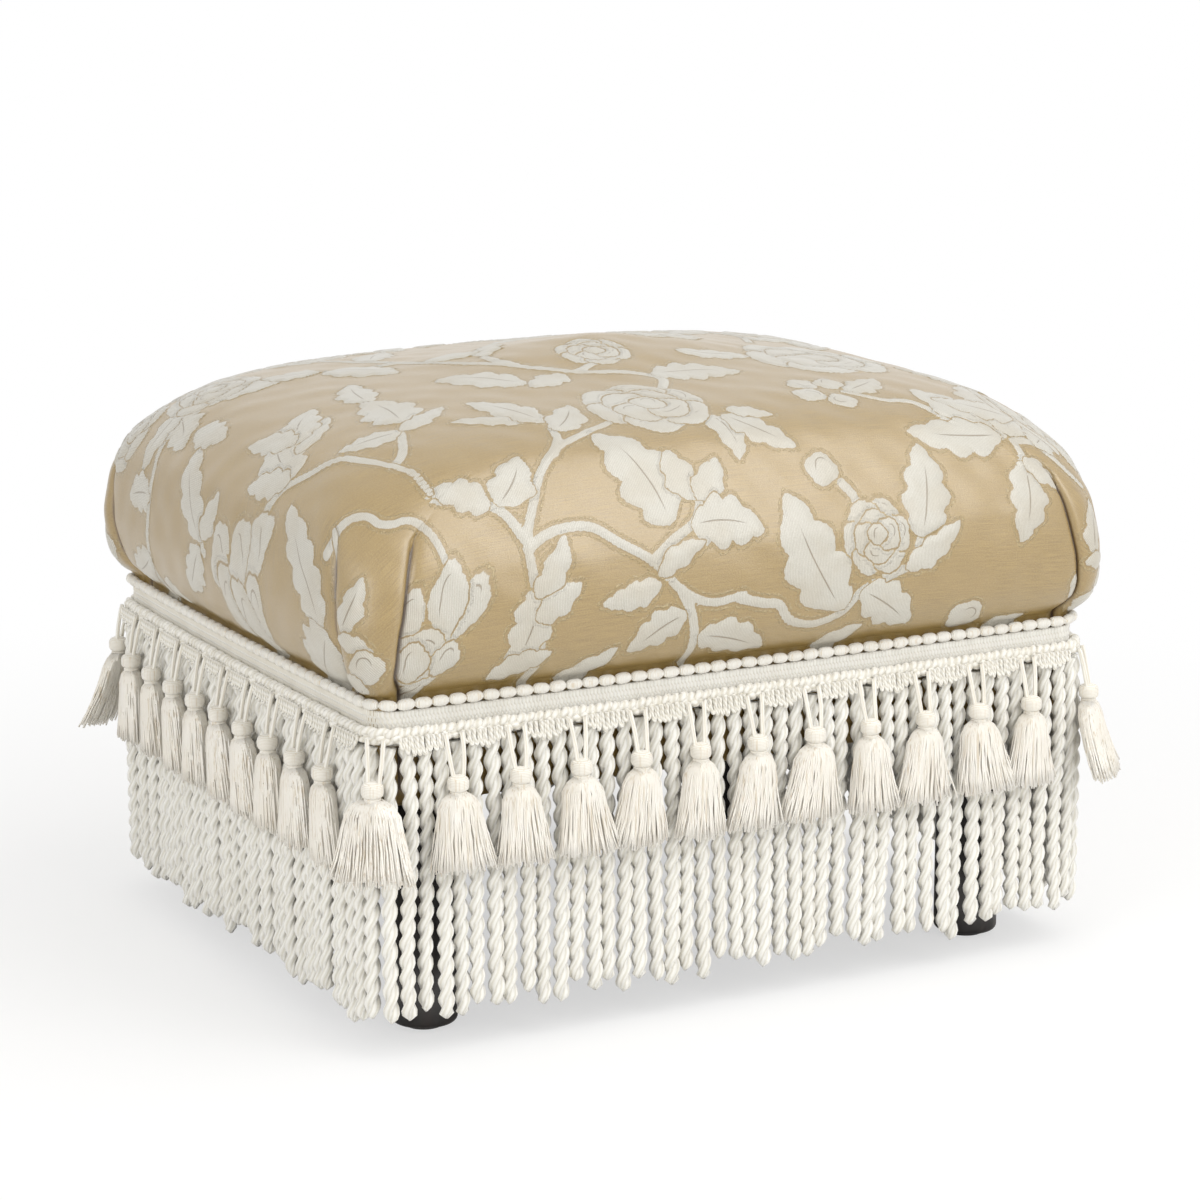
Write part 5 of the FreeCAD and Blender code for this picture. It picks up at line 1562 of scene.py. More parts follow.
# %% Yarns of the trim
ribbed_braid = yarn("ribbed_cotton_braid", "#F6F5F0", "#E6E2D8", 1, 500.0, 0.2, 0.8)
woven_bead = yarn("woven_bead_yarn", "#F4F3EE", "#E4E0D6", 0, 0.75, 0.16, 0.7)
twisted_cord = yarn("twisted_cord_yarn", "#F3F1EB", "#E2DED3", 2, 3.2, 0.25, 0.75)
smooth_cord = yarn("smooth_cord_yarn", "#F4F2EB", "#E2DDD1", 4, 60.0, 0.12, 0.5)
bullion_yarn = yarn("bullion_yarn", "#F4F3EE", "#E4E1D8", 8, -6.5, 0.3, 0.72)
lustrous_thread = yarn("lustrous_thread", "#FAF7F0", "#EBE4D6", 0, 400.0, 0.05, 0.36, 0.2)
wound_thread = yarn("wound_thread", "#F5F2EB", "#E4DFD3", 0, 0.8, 0.14, 0.55)
print("finishes so far:", len(bpy.data.materials))

# %% [markdown]
# ## The braid
# A woven band about nineteen millimetres high carries the rest. It shows as fine upright ribs in
# crocheted rows, each row half a rib further on than the one above. The band is one closed
# section carried round the seat, whose front stands out by a cosine of the distance round it.

# %% Band section
RIB_PITCH = 2.1 * MM
BAND_OUT = 2.3 * MM
BAND_BACK = 0.3 * MM
RIB_HEIGHT = 0.6 * MM
ROW_HEIGHT = 3.1 * MM
RIBBED_SHARE = 0.9
STEPS_PER_RIB = 4
# each row: the height as a share of the band's, and how far it stands out as a share of BAND_OUT
BAND_SECTION_SHARES = (
    (0.985, 0.55), (1.0, 0.8), (0.985, 0.97), (0.93, 1.0), (0.85, 1.0), (0.76, 0.98),
    (0.68, 1.0), (0.6, 1.0), (0.5, 0.98), (0.36, 1.0), (0.2, 1.0), (0.06, 0.97), (0.0, 0.6),
)
rib_count = round(stretch / RIB_PITCH / 4) * 4
point, away, run = all_round_line(rib_count * STEPS_PER_RIB)
low, tall = band_low[2], band_high[2] - band_low[2]
share, swell = np.array(BAND_SECTION_SHARES).T
shift = np.floor(share * tall / ROW_HEIGHT) * 0.5
wave = np.cos(2 * np.pi * (run[:, None] / stretch * rib_count + shift))
stand = BAND_OUT * swell + RIB_HEIGHT * wave * (swell > RIBBED_SHARE)
stand = np.concatenate([stand, np.full((len(run), 2), BAND_BACK)], axis=1)
height = np.concatenate([low + share * tall, low + tall * np.array([0.0, 1.0])])
around = point[:, None] + away[:, None] * stand[..., None]
upright = np.broadcast_to(height[:, None], around[..., :1].shape)
band_points = np.concatenate([around, upright], axis=-1)
print("ribs round the band:", rib_count)

# %% Band piece
# Its places are the number of the rib, a quarter rib on, and the height in millimetres.
band_faces = grid(len(run), len(height), closed=True, looped=True)
rib = np.arange(len(run) + 1)[:, None] / STEPS_PER_RIB
rib = rib + np.concatenate([shift, [0, 0], shift[:1]]) + 0.25
level = np.concatenate([height, height[:1]])[None] / MM + rib * 0
spots = np.stack([rib, level], axis=-1)
band_places = np.stack([spots[:-1, :-1], spots[:-1, 1:], spots[1:, 1:], spots[1:, :-1]], axis=2)
band = piece(
    "braid", band_points, [band_faces], ribbed_braid, "trim_chenille", [band_places.ravel()]
)
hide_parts("braid_band")

# %% [markdown]
# ### The beads
# On the band's upper edge sits a row of oval woven beads, threaded on a thin cord. A bead is a tube
# along a short line whose radius is nearly that of an ellipse, with shallow grooves where the yarn
# is wound. No two are quite alike in length, thickness and lean.

# %% Beads
BEAD_RADIUS = 3.0 * MM
BEAD_PITCH = 9.7 * MM
BEAD_OVERLAP = 1.02
BEAD_DROP_SHARE = 1.25
BEAD_STAND = 3.8 * MM
BEAD_CORE_RADIUS = 0.9 * MM
BEAD_CORE_STEPS = 560
BEAD_RINGS = 12
BEAD_SIDES = 14
bead_height = trim_top - BEAD_DROP_SHARE * BEAD_RADIUS
at = np.linspace(-1, 1, BEAD_RINGS)
parts = []
for side in SIDES:
    half = side_half(side, BEAD_STAND)
    count = round(2 * half / BEAD_PITCH)
    length = 2 * half / count * BEAD_OVERLAP
    spots = stations(side, even_places(half, count), BEAD_STAND)
    lines = course(
        at * length / 2 * rng.uniform(0.96, 1.03, (count, 1)),
        rng.uniform(-0.25, 0.25, (count, 1)) * MM,
        bead_height + at * rng.uniform(-0.35, 0.35, (count, 1)) * MM,
    )
    round_off = np.sqrt(np.maximum(1 - np.abs(at) ** 3.0, 0.09))
    groove = 1 - 0.045 * (np.arange(BEAD_RINGS) % 2)
    thick = BEAD_RADIUS * round_off * groove * rng.uniform(0.95, 1.04, (count, 1))
    parts.append(swept(set_out(lines, *spots), thick[..., None], BEAD_SIDES, (0, 0, 1)))
point, away, run = all_round_line(BEAD_CORE_STEPS)
core = overlapped(round_line(point, away, run * 0 + BEAD_STAND, run * 0 + bead_height))
parts.append(swept(core[None], BEAD_CORE_RADIUS, 6, (0, 0, 1)))
points, faces, places = joined(parts)
beads = piece("woven_beads", points, faces, woven_bead, "trim_beads", places)
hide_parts("bead_row")

# %% [markdown]
# ### The plaited cord
# Over the band's middle lies a thick cord, plaited from three. Every strand crosses from side to
# side as a sine and goes in and out twice as often, a third of a turn after the one before.

# %% Thick cord
CORD_STAND = 5.7 * MM
CORD_HEIGHT = 174.2 * MM
PLAIT_LENGTH = 15 * MM
PLAIT_WIDE = 2.6 * MM
PLAIT_DEEP = 1.1 * MM
STRAND_RADIUS = 2.1 * MM
CORD_STEPS = 1240
WAVER, WAVER_COUNT = 0.35 * MM, 29
point, away, run = all_round_line(CORD_STEPS)
plaits = round(stretch / PLAIT_LENGTH)
strands = []
for number in range(3):
    turn = 2 * np.pi * (run / stretch * plaits + number / 3)
    slow = WAVER * np.sin(2 * np.pi * run / stretch * WAVER_COUNT + number)
    out = CORD_STAND + PLAIT_DEEP * np.sin(2 * turn) + slow
    up = CORD_HEIGHT + PLAIT_WIDE * np.sin(turn) + slow
    strands.append(overlapped(round_line(point, away, out, up)))
thick = STRAND_RADIUS * (1 + 0.07 * np.sin(np.arange(len(strands[0])) * 0.9))
points, faces, places = swept(np.stack(strands), thick[:, None], 8, (0, 0, 1))
thick_cord = piece("plaited_cord", points, faces, twisted_cord, "trim_cord", places)
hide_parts("gimp_cord")

# %% [markdown]
# ### Loops under the cord
# Between two tassels the cord throws a cluster of eight small loops of the same yarn, the middle
# ones a little longer, all hanging close over the top of the fringe. A loop goes down and up again
# as half a turn, with its ends behind the cord.

# %% Loops
TASSEL_COUNTS = {"front": 12, "back": 12, "left": 10, "right": 10}
LOOP_STEPS = 11
LOOP_RADIUS = 0.95 * MM
LOOP_HALF_WIDTH = 1.25 * MM
LOOP_STAND, LOOP_SWING, LOOP_CROSSING = 8.8 * MM, 1.3 * MM, 0.4 * MM
LOOP_AT = np.array([-10.9, -7.8, -4.7, -1.6, 1.6, 4.7, 7.8, 10.9]) * MM
LOOP_DROP = np.array([6.4, 7.6, 8.6, 9.0, 9.0, 8.6, 7.6, 6.4]) * MM
turn = np.linspace(0, np.pi, LOOP_STEPS)
loops = []
for side in SIDES:
    count = TASSEL_COUNTS[side]
    point, away = stations(side, even_places(side_half(side), count))
    for at, drop in zip(LOOP_AT, LOOP_DROP):
        wide = LOOP_HALF_WIDTH * rng.uniform(0.85, 1.2, (count, 1))
        fall = drop * rng.uniform(0.9, 1.12, (count, 1))
        lean = rng.uniform(-0.6, 0.6, (count, 1)) * MM
        line = course(
            at + lean * np.sin(turn) - wide * np.cos(turn),
            LOOP_STAND + LOOP_SWING * np.sin(turn) + LOOP_CROSSING * np.cos(turn),
            CORD_HEIGHT - fall * np.sin(turn) ** 0.8,
        )
        loops.append(set_out(line, point, away))
points, faces, places = swept(np.concatenate(loops), LOOP_RADIUS, 8, (0, 0.3, 1))
scallops = piece("cord_loops", points, faces, twisted_cord, "trim_cord", places)
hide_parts("scallop_loops")

# %% [markdown]
# ## The tassels
# Each tassel hangs from the thick cord on two round cords that meet at its head. The head is wound
# with thread round a wooden core, and below it a bound neck lets out a skirt of straight lustrous
# threads, narrow at the neck and fanned at the ends. No two skirts are alike, and those at the
# corners are thrown outwards.

# %% Tassel places
TASSEL_STAND = 15.0 * MM


def tassel_spots(side):
    """Where the tassels of a side hang. Those at the corners belong to the long sides."""
    half, count = side_half(side), TASSEL_COUNTS[side]
    places = np.linspace(-half, half, count + 1)
    places = places if side in ("front", "back") else places[1:-1]
    return places, *stations(side, places)


print("tassels:", sum(len(tassel_spots(side)[0]) for side in SIDES))

# %% [markdown]
# ### The cords and the wound heads
# The two cords part at the thick cord and nearly meet at the head. The head is a tube down a
# straight line, and its radius at every millimetre gives the bound neck, the round body wound with
# thread and the small knot on top.

# %% Tassel cords and heads
HEAD_TOP, HEAD_BOTTOM = 152.2 * MM, 141.8 * MM
HEAD_SINK = 0.8 * MM
CORD_RADIUS = 1.25 * MM
CORD_SPREAD = 4.6 * MM
CORD_START_STAND = 9.6 * MM
CORD_START_DROP = 0.8 * MM
CORD_END_DEPTH = 2.4 * MM
HEAD_RISES = np.array([
    0, 0.4, 0.9, 1.5, 2.2, 2.9, 3.4, 3.6, 4.2, 5.0, 6.0, 7.0, 8.0, 9.0, 9.9, 10.6, 11.2, 11.6,
]) * MM
HEAD_RADII = np.array([
    3.4, 4.3, 4.55, 4.3, 4.55, 4.3, 4.0, 4.6, 5.35, 5.7, 5.8, 5.75, 5.8, 5.65, 5.3, 4.5, 3.2, 1.4,
]) * MM


def tassel_cords(side):
    """The two cords of each tassel, slightly bowed, from the thick cord to the head."""
    places, point, away = tassel_spots(side)
    share = np.linspace(0, 1, 10)
    drop = HEAD_TOP - CORD_END_DEPTH - CORD_HEIGHT
    lines = []
    for sign in (-1, 1):
        bow = np.sin(np.pi * share) * rng.uniform(-0.6, 0.8, (len(places), 1)) * MM
        near_head = rng.uniform(1.9, 3.4, (len(places), 1)) * MM
        line = course(
            sign * (CORD_SPREAD * (1 - share) + near_head * share + bow),
            CORD_START_STAND + (TASSEL_STAND - CORD_START_STAND) * share**0.8,
            CORD_HEIGHT - CORD_START_DROP + drop * share,
        )
        lines.append(set_out(line, point, away))
    return swept(np.concatenate(lines), CORD_RADIUS, 10, (0.3, 0.2, 0))


def tassel_heads(side):
    """The wound heads with a bound neck below and a small knot above."""
    places, point, away = tassel_spots(side)
    lean = HEAD_RISES * rng.uniform(-0.03, 0.03, (len(places), 1))
    line = course(lean, TASSEL_STAND, HEAD_BOTTOM - HEAD_SINK + HEAD_RISES)
    thick = HEAD_RADII[None] * rng.uniform(0.96, 1.03, (len(places), 1))
    return swept(set_out(line, point, away), thick[..., None], 24, (1, 0.2, 0))


print("a head is", round(HEAD_RISES[-1] / MM, 1), "mm tall with its neck")

# %% [markdown]
# ### The skirts
# A skirt is a hundred and fifty threads on an oval that widens downwards. Each thread bends by its
# own random amount, a few stray far, and all are a little crimped. A plain core behind them keeps
# the skirt closed.

# %% Tassel skirts
SKIRT_TOP, SKIRT_END = 143.0 * MM, 101.5 * MM
THREADS = 150
THREAD_RADIUS = 0.52 * MM
CORE_INSET = 1.5 * MM
CORE_SIDES = 24
CORNER_PUSH = 12.0
CORNER_FAN = 1.28
STRAY_LIMIT, STRAY_BEND = 2.3, 4.0
THREAD_SHARES = np.array([0.0, 0.08, 0.2, 0.4, 0.6, 0.8, 1.0])
SKIRT_DOWN_SHARES = np.array([0.0, 0.06, 0.17, 0.4, 0.7, 1.0])
SKIRT_WIDE = np.array([3.8, 7.2, 9.6, 11.0, 12.8, 14.8]) * MM
SKIRT_DEEP = np.array([3.4, 5.2, 6.2, 6.2, 6.0, 5.8]) * MM


def skirt_threads(point, away, throw, push, fan):
    """The threads of each skirt: places on an oval, thrown aside and pushed out by length."""
    many, share = len(point), THREAD_SHARES
    wide = np.interp(share, SKIRT_DOWN_SHARES, SKIRT_WIDE)
    deep = np.interp(share, SKIRT_DOWN_SHARES, SKIRT_DEEP)
    turn = (np.arange(THREADS) + rng.uniform(-0.5, 0.5, (many, THREADS))) * 2 * np.pi / THREADS
    turn = turn[..., None]
    spread = fan[:, None, None] * (1 + rng.normal(0, 0.05, (many, THREADS, 1)) * share)
    bend = rng.normal(0, 1.0, (many, THREADS, 1)) * MM * share**2
    stray = np.abs(rng.normal(0, 1, (many, THREADS, 1))) > STRAY_LIMIT
    bend = bend * np.where(stray, STRAY_BEND, 1.0)
    crimp = rng.normal(0, 0.28, (many, THREADS, len(share))) * MM * (share > 0.1)
    along = np.sin(turn) * wide * spread + throw[:, None, None] * share**1.3 + bend + crimp
    out = TASSEL_STAND + np.cos(turn) * deep + bend * 0.3 + crimp * 0.5
    out += push[:, None, None] * share**1.4
    fall = (SKIRT_TOP - SKIRT_END) * rng.normal(1.0, 0.028, (many, THREADS, 1))
    sag = 1 - 0.02 * (np.abs(np.sin(turn)) * spread) ** 2
    line = course(along, out, SKIRT_TOP - fall * sag * share)
    strands = set_out(line, point, away).reshape(many * THREADS, len(share), 3)
    return swept(strands, THREAD_RADIUS, 3, (0.3, 1, 0))


def skirt_core(point, away, throw, push, fan):
    """The plain oval core of each skirt: one over the root of (cos / wide)^2 + (sin / deep)^2."""
    share = np.linspace(0, 0.965, 9)
    core = course(
        throw[:, None] * share**1.3,
        TASSEL_STAND + push[:, None] * share**1.4,
        SKIRT_TOP - (SKIRT_TOP - SKIRT_END) * share,
    )
    angle = np.arange(CORE_SIDES) * 2 * np.pi / CORE_SIDES
    wide = np.interp(share, SKIRT_DOWN_SHARES, SKIRT_WIDE)[:, None] * fan[:, None, None]
    deep = np.interp(share, SKIRT_DOWN_SHARES, SKIRT_DEEP)[:, None] - CORE_INSET
    ruffle = 1 + 0.03 * np.cos(angle * 9) * share[:, None]
    thick = ruffle / np.hypot(np.cos(angle) / (wide - CORE_INSET), np.sin(angle) / deep)
    onward = np.stack([-away[:, 1], away[:, 0], away[:, 0] * 0], axis=-1)[:, None]
    return swept(set_out(core, point, away), thick, CORE_SIDES, onward)


def tassel_skirts(side):
    """The skirts of a side, each thrown, pushed out and fanned by its own random amounts."""
    places, point, away = tassel_spots(side)
    many = len(places)
    at_corner = np.abs(places / side_half(side)) > 0.99
    throw = rng.normal(0, 3.0, many) * MM
    push = np.where(at_corner, CORNER_PUSH, rng.uniform(-0.4, 1.6, many)) * MM
    fan = rng.uniform(0.9, 1.2, many) * np.where(at_corner, CORNER_FAN, 1.0)
    form = (point, away, throw, push, fan)
    return joined([skirt_threads(*form), skirt_core(*form)])


# %% Tassel pieces
TASSEL_PIECES = (
    (tassel_cords, "_tassel_cord_pairs", smooth_cord, "trim_cord", "_tassel_cords"),
    (tassel_heads, "_wound_heads", wound_thread, "tassel_thread", "_tassel_heads"),
    (tassel_skirts, "_thread_skirts", lustrous_thread, "tassel_thread", "_tassel_skirts"),
)
for side in SIDES:
    for shape_of, ending, thread, slot_name, node_ending in TASSEL_PIECES:
        points, faces, places = shape_of(side)
        made = piece(side + ending, points, faces, thread, slot_name, places)
        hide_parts(side + node_ending)

# %% [markdown]
# ## The bullion fringe
# A bullion strand is one yarn doubled and left to twist back on itself, so it is a two-ply rope
# with a closed round end. Seen across, it is two circles side by side, and that pair turns once in
# about twenty millimetres. The strands hang close, differ a little in length, lean against each
# other, and some stand in front of their neighbours.

# %% Bullion
BULLION_TOP = 168.0 * MM
BULLION_END = 20.7 * MM
BULLION_PITCH = 9.6 * MM
BULLION_STAND = 4.6 * MM
PLY_OFFSET = 1.75 * MM
PLY_RADIUS = 2.8 * MM
LAY = 20.0 * MM
BULLION_SIDES = 14
BULLION_STEPS = 66
LENGTH_SPREAD, LENGTH_LIMIT = 3.2, 7 * MM
EVERY_SECOND_OUT = 0.8 * MM
END_ROUNDING = 4.2 * MM


def bullion(side):
    """The strands of one side.

    A two-ply section has the radius offset * |cos t| + sqrt(ply^2 - (offset * sin t)^2), where t is
    the angle from the line through both plies, and that line turns by 2 pi per lay.
    """
    half = side_half(side, BULLION_STAND)
    count = round(2 * half / BULLION_PITCH)
    spots = stations(side, even_places(half, count), BULLION_STAND)
    share = np.linspace(0, 1, BULLION_STEPS)
    share = share + (share - 1) * share * 0.25 * share
    one = (count, 1)
    end = BULLION_END + rng.normal(0, LENGTH_SPREAD, one) * MM
    end = np.clip(end, BULLION_END - LENGTH_LIMIT, BULLION_END + LENGTH_LIMIT)
    height = BULLION_TOP + (end - BULLION_TOP) * share
    lean = rng.normal(0, 1.3, one) * MM
    sway = rng.normal(0, 0.7, one) * MM
    along = lean * share**1.3 + sway * np.sin(share * np.pi * rng.uniform(1, 2.4, one))
    depth = rng.uniform(-0.6, 1.9, one) * MM
    depth = depth + (np.arange(count) % 2)[:, None] * EVERY_SECOND_OUT
    line = course(along, depth * ramp(share, 0.0, 0.35), height)
    lay = LAY * rng.uniform(0.9, 1.12, one)
    turning = -2 * np.pi * (height / lay + rng.uniform(0, 1, one))
    angle = np.arange(BULLION_SIDES) * 2 * np.pi / BULLION_SIDES
    across = angle[None, None] - turning[..., None]
    thick = PLY_OFFSET * np.abs(np.cos(across)) + np.sqrt(
        PLY_RADIUS**2 - (PLY_OFFSET * np.sin(across)) ** 2
    )
    thick = thick * rng.uniform(0.96, 1.04, one)[..., None]
    left_over = (height - end) / END_ROUNDING
    thick = thick * np.sqrt(1 - (1 - np.clip(left_over, 0.02, 1)) ** 2)[..., None]
    outwards = np.concatenate([spots[1], spots[1][:, :1] * 0], axis=-1)[:, None]
    return swept(set_out(line, *spots), thick, BULLION_SIDES, outwards)


for side in SIDES:
    points, faces, places = bullion(side)
    fringe = piece(side + "_bullion_fringe", points, faces, bullion_yarn, "trim_bullion", places)
    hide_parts(side + "_bullion")


# %% [markdown]
# ## Inside the seat
# Under the cover lies a sheet of polyester batting, and under that the foam block on its plywood
# deck. Neither shows, but the seat is only as full as they are, so both follow the cushion's own
# levels, drawn in by their depth, down to where each of them ends.

# %% Pads
PAD_SPACING = 12 * MM
PAD_QUARTER = 24
BATTING_INSET = 7.0 * MM
FOAM_INSET = 17.0 * MM


def padding(name, inset, bottom, material, slot_name):
    """A closed pad: the cushion's levels drawn in by a depth, with a flat base."""
    rows = level_rows(PAD_SPACING)
    levels = trim_top + rows[:, 0] * (crown_rise - inset)
    above = levels > bottom
    rows, levels = rows[above], levels[above]
    rows = np.concatenate([rows[:1], rows])
    levels = np.concatenate([[bottom], levels])
    shape = level_arcs(rows, inset)
    whole = run_lengths(shape[1], shape[2]).sum(axis=-1)
    at = whole[:, None] * np.linspace(0, 1, PAD_QUARTER + 1)
    point, _ = rings(shape, at)
    height = np.broadcast_to(levels[:, None, None], point[..., :1].shape)
    around = 4 * PAD_QUARTER
    ends = np.stack([np.arange(around)[::-1], np.arange(around) + (len(rows) - 1) * around])
    faces = [grid(len(rows), around, closed=True), ends]
    return piece(name, np.concatenate([point, height], -1), faces, material, slot_name)


print("pads have", 4 * PAD_QUARTER, "columns")

# %% [markdown]
# ### Foam and batting
# Foam is a mass of open cells about a millimetre and a half across, and batting a tangle of fibres
# in tufts of about four millimetres. In both one pattern mixes two close colours and raises the
# surface, so one function makes either, and later the nylon and the cambric.

# %% Speckled finishes


def speckled(name, light, dark, textures, depth, **surface):
    """Two colours mixed by the first texture, and the surface raised by the last one.

    A texture is a kind of node, the name of its output and its settings.
    """
    material, tree, shader = finish(name, **surface)
    body = add(tree, "TexCoord").outputs["Object"]
    specks = [
        add(tree, kind, {"Vector": body, **settings}).outputs[output]
        for kind, output, settings in textures
    ]
    inputs = {0: specks[0], 6: linear(light), 7: linear(dark)}
    colour = add(tree, "Mix", inputs, data_type="RGBA").outputs[2]
    bump = add(tree, "Bump", {"Distance": depth, "Height": specks[-1]})
    wire(tree, shader, {"Base Color": colour, "Normal": bump.outputs[0]})
    return material


cells = ("TexVoronoi", "Distance", {"Scale": 0.7 / MM})
foam_finish = speckled("open_cell_foam", "#D9C888", "#F0E6BC", [cells], 0.4 * MM, Roughness=0.95)
tufts = ("TexNoise", "Fac", {"Scale": 0.26 / MM, "Detail": 5.0, "Distortion": 2.0})
batting_finish = speckled(
    "polyester_batting", "#F4F2EC", "#DDD9CF", [tufts], 1.0 * MM, Roughness=0.9, Sheen_Weight=0.5
)

# %% Foam and batting pieces
batting_bottom, foam_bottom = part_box("batting_wrap")[0].z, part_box("foam_pad")[0].z
batting = padding("batting", BATTING_INSET, batting_bottom, batting_finish, "batting")
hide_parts("batting_wrap")
foam = padding("foam", FOAM_INSET, foam_bottom, foam_finish, "foam")
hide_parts("foam_pad")

# %% [markdown]
# ## The dust cover
# A thin black spunbond cloth is stapled under the frame, with a round hole for each leg. It hangs
# a millimetre or two slack in the middle. The grid has a square of fine cells round each leg, and
# in place of those cells four rings of faces lead from the square to the hole.

# %% Dust cover grid
HOLE_CELLS = 8
HOLE_HALF = 21.5 * MM
HOLE_GAP = 0.5 * MM
HOLE_RINGS = 4
CLOTH_SAG = 1.8 * MM
dust_low, dust_high = (np.array(found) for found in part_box("dust_cover"))
leg_low, leg_high = (np.array(found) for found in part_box("back_right_leg"))
leg_centre = (leg_low + leg_high)[:2] / 2
hole_radius = (leg_high[0] - leg_low[0]) / 2 + HOLE_GAP


def grid_lines(half, leg, cells):
    """Lines across the cloth: fine ones beside both legs, coarser ones between them."""
    near_leg = np.linspace(leg - HOLE_HALF, leg + HOLE_HALF, HOLE_CELLS + 1)
    middle = np.linspace(-(leg - HOLE_HALF), leg - HOLE_HALF, cells + 1)
    return np.concatenate([[-half], -near_leg[::-1], middle[1:-1], near_leg, [half]])


MIDDLE_CELLS_X, MIDDLE_CELLS_Y = 26, 20
x_lines = grid_lines(dust_high[0], leg_centre[0], MIDDLE_CELLS_X)
y_lines = grid_lines(dust_high[1], leg_centre[1], MIDDLE_CELLS_Y)
points = np.stack(np.meshgrid(x_lines, y_lines), axis=-1).reshape(-1, 2)
cloth_faces = grid(len(y_lines), len(x_lines))
centres = points[cloth_faces].mean(axis=1)
over_leg = (np.abs(np.abs(centres) - leg_centre) < HOLE_HALF).all(axis=1)
cloth_faces = [cloth_faces[~over_leg]]
print("cells cut out for the legs:", int(over_leg.sum()))

# %% Leg holes
onward, rest = np.arange(HOLE_CELLS), np.zeros(HOLE_CELLS, int)
edge_walk = np.concatenate([
    np.stack([onward, rest], -1),
    np.stack([rest + HOLE_CELLS, onward], -1),
    np.stack([HOLE_CELLS - onward, rest + HOLE_CELLS], -1),
    np.stack([rest, HOLE_CELLS - onward], -1),
])
for first_x in (1, len(x_lines) - 2 - HOLE_CELLS):
    for first_y in (1, len(y_lines) - 2 - HOLE_CELLS):
        rim = (first_y + edge_walk[:, 1]) * len(x_lines) + first_x + edge_walk[:, 0]
        centre = points[rim].mean(axis=0)
        heading = unit(points[rim] - centre)
        rings_in = [rim]
        for ring in range(1, HOLE_RINGS + 1):
            share = ring / HOLE_RINGS
            circle = centre + heading * hole_radius
            rings_in.append(len(points) + np.arange(len(rim)))
            points = np.concatenate([points, points[rim] * (1 - share) + circle * share])
        table = np.stack(rings_in)
        following = np.roll(table, -1, axis=1)
        quads = (table[:-1], following[:-1], following[1:], table[1:])
        cloth_faces.append(np.stack(quads, axis=-1).reshape(-1, 4))
print("points of the dust cover:", len(points))

# %% Dust cover piece
# Spunbond cloth is a felt of black fibres, welded together at dots about a millimetre apart.
CAMBRIC_THICK = 0.5 * MM
SLACK_RIPPLE = 0.25 * MM
share_x, share_y = (points / dust_high[:2]).T
sag = CLOTH_SAG * (1 - share_x**2) * (1 - share_y**2)
slack = SLACK_RIPPLE * np.sin(share_x * 40) * np.sin(share_y * 31) * (1 - share_x**2)
level = (dust_low[2] + dust_high[2]) / 2 - sag + slack
fibres = ("TexNoise", "Fac", {"Scale": 0.3 / MM, "Detail": 4.0})
dots = ("TexVoronoi", "Distance", {"Scale": 0.9 / MM})
cambric_finish = speckled(
    "black_cambric", "#1B1B1E", "#2E2E32", [fibres, dots], 0.2 * MM, Roughness=0.85
)
dust = piece(
    "dust_cloth", np.column_stack([points, level]), cloth_faces, cambric_finish, "cambric"
)
thickness = dust.modifiers.new("thickness", "SOLIDIFY")
thickness.thickness = CAMBRIC_THICK
thickness.offset = 0.0
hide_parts("dust_cover")

# %% [markdown]
# ## Wood and metal
# The hard pieces keep the shapes they already have and only need their finishes. The legs are
# turned hardwood under a dark espresso lacquer. The frame inside is planed pine under a plywood
# deck, held by zinc plated fasteners, and the glides are moulded nylon.
#
# ### Wood
# Wood is rings and pores drawn out along the grain. A stretch of less than one slows a pattern
# down in that direction, and about two pores fit in five millimetres across it.

# %% Wood finish
GROWTH_RINGS = 0.026 / MM
PORES = 0.42 / MM
GRAIN = 0.08
ALONG_X, ALONG_Y, ALONG_Z = (GRAIN, 1, 1), (1, GRAIN, 1), (1, 1, GRAIN)


def wood(name, stretch, pale, dark, **surface):
    """Wood whose grain runs where the stretch is small. Growth rings are a bent wave."""
    material, tree, shader = finish(name, **surface)
    body = add(tree, "TexCoord").outputs["Object"]
    run = add(tree, "VectorMath", {0: body, 1: stretch}, operation="MULTIPLY").outputs[0]
    inputs = {"Vector": run, "Scale": GROWTH_RINGS, "Distortion": 9.0, "Detail": 3.0}
    growth = add(tree, "TexWave", inputs)
    pores = add(tree, "TexNoise", {"Vector": run, "Scale": PORES, "Detail": 4.0})
    inputs = {0: growth.outputs["Fac"], 6: linear(pale), 7: linear(dark)}
    colour = add(tree, "Mix", inputs, data_type="RGBA").outputs[2]
    inputs = {0: 0.35, 6: colour, 7: pores.outputs["Color"]}
    colour = add(tree, "Mix", inputs, data_type="RGBA", blend_type="SOFT_LIGHT").outputs[2]
    low, high = surface["Roughness"] - 0.08, surface["Roughness"] + 0.1
    dull = add(tree, "MapRange", {"Value": pores.outputs["Fac"], "To Min": low, "To Max": high})
    bump = add(tree, "Bump", {"Strength": 0.5, "Distance": 0.15 * MM, "Height": pores.outputs[0]})
    inputs = {"Base Color": colour, "Roughness": dull.outputs[0], "Normal": bump.outputs[0]}
    wire(tree, shader, inputs)
    return material


espresso = wood(
    "espresso_lacquered_wood", ALONG_Z, "#231B19", "#15100F", Roughness=0.34, Coat_Weight=0.4,
    Coat_Roughness=0.2,
)
pine_x = wood("planed_pine_lengthwise", ALONG_X, "#DDBB86", "#C79C62", Roughness=0.6)
pine_y = wood("planed_pine_crosswise", ALONG_Y, "#DDBB86", "#C79C62", Roughness=0.6)
pine_z = wood("planed_pine_blocks", ALONG_Z, "#DDBB86", "#C79C62", Roughness=0.6)
birch = wood("birch_plywood", ALONG_X, "#D8B888", "#C6A26C", Roughness=0.62)

print("woods:", espresso.name, pine_x.name, birch.name)

# %% [markdown]
# ### Zinc and nylon
# Zinc plating has small spangles that differ in colour and gloss. The glides' nylon has only the
# fine grain of its mould.

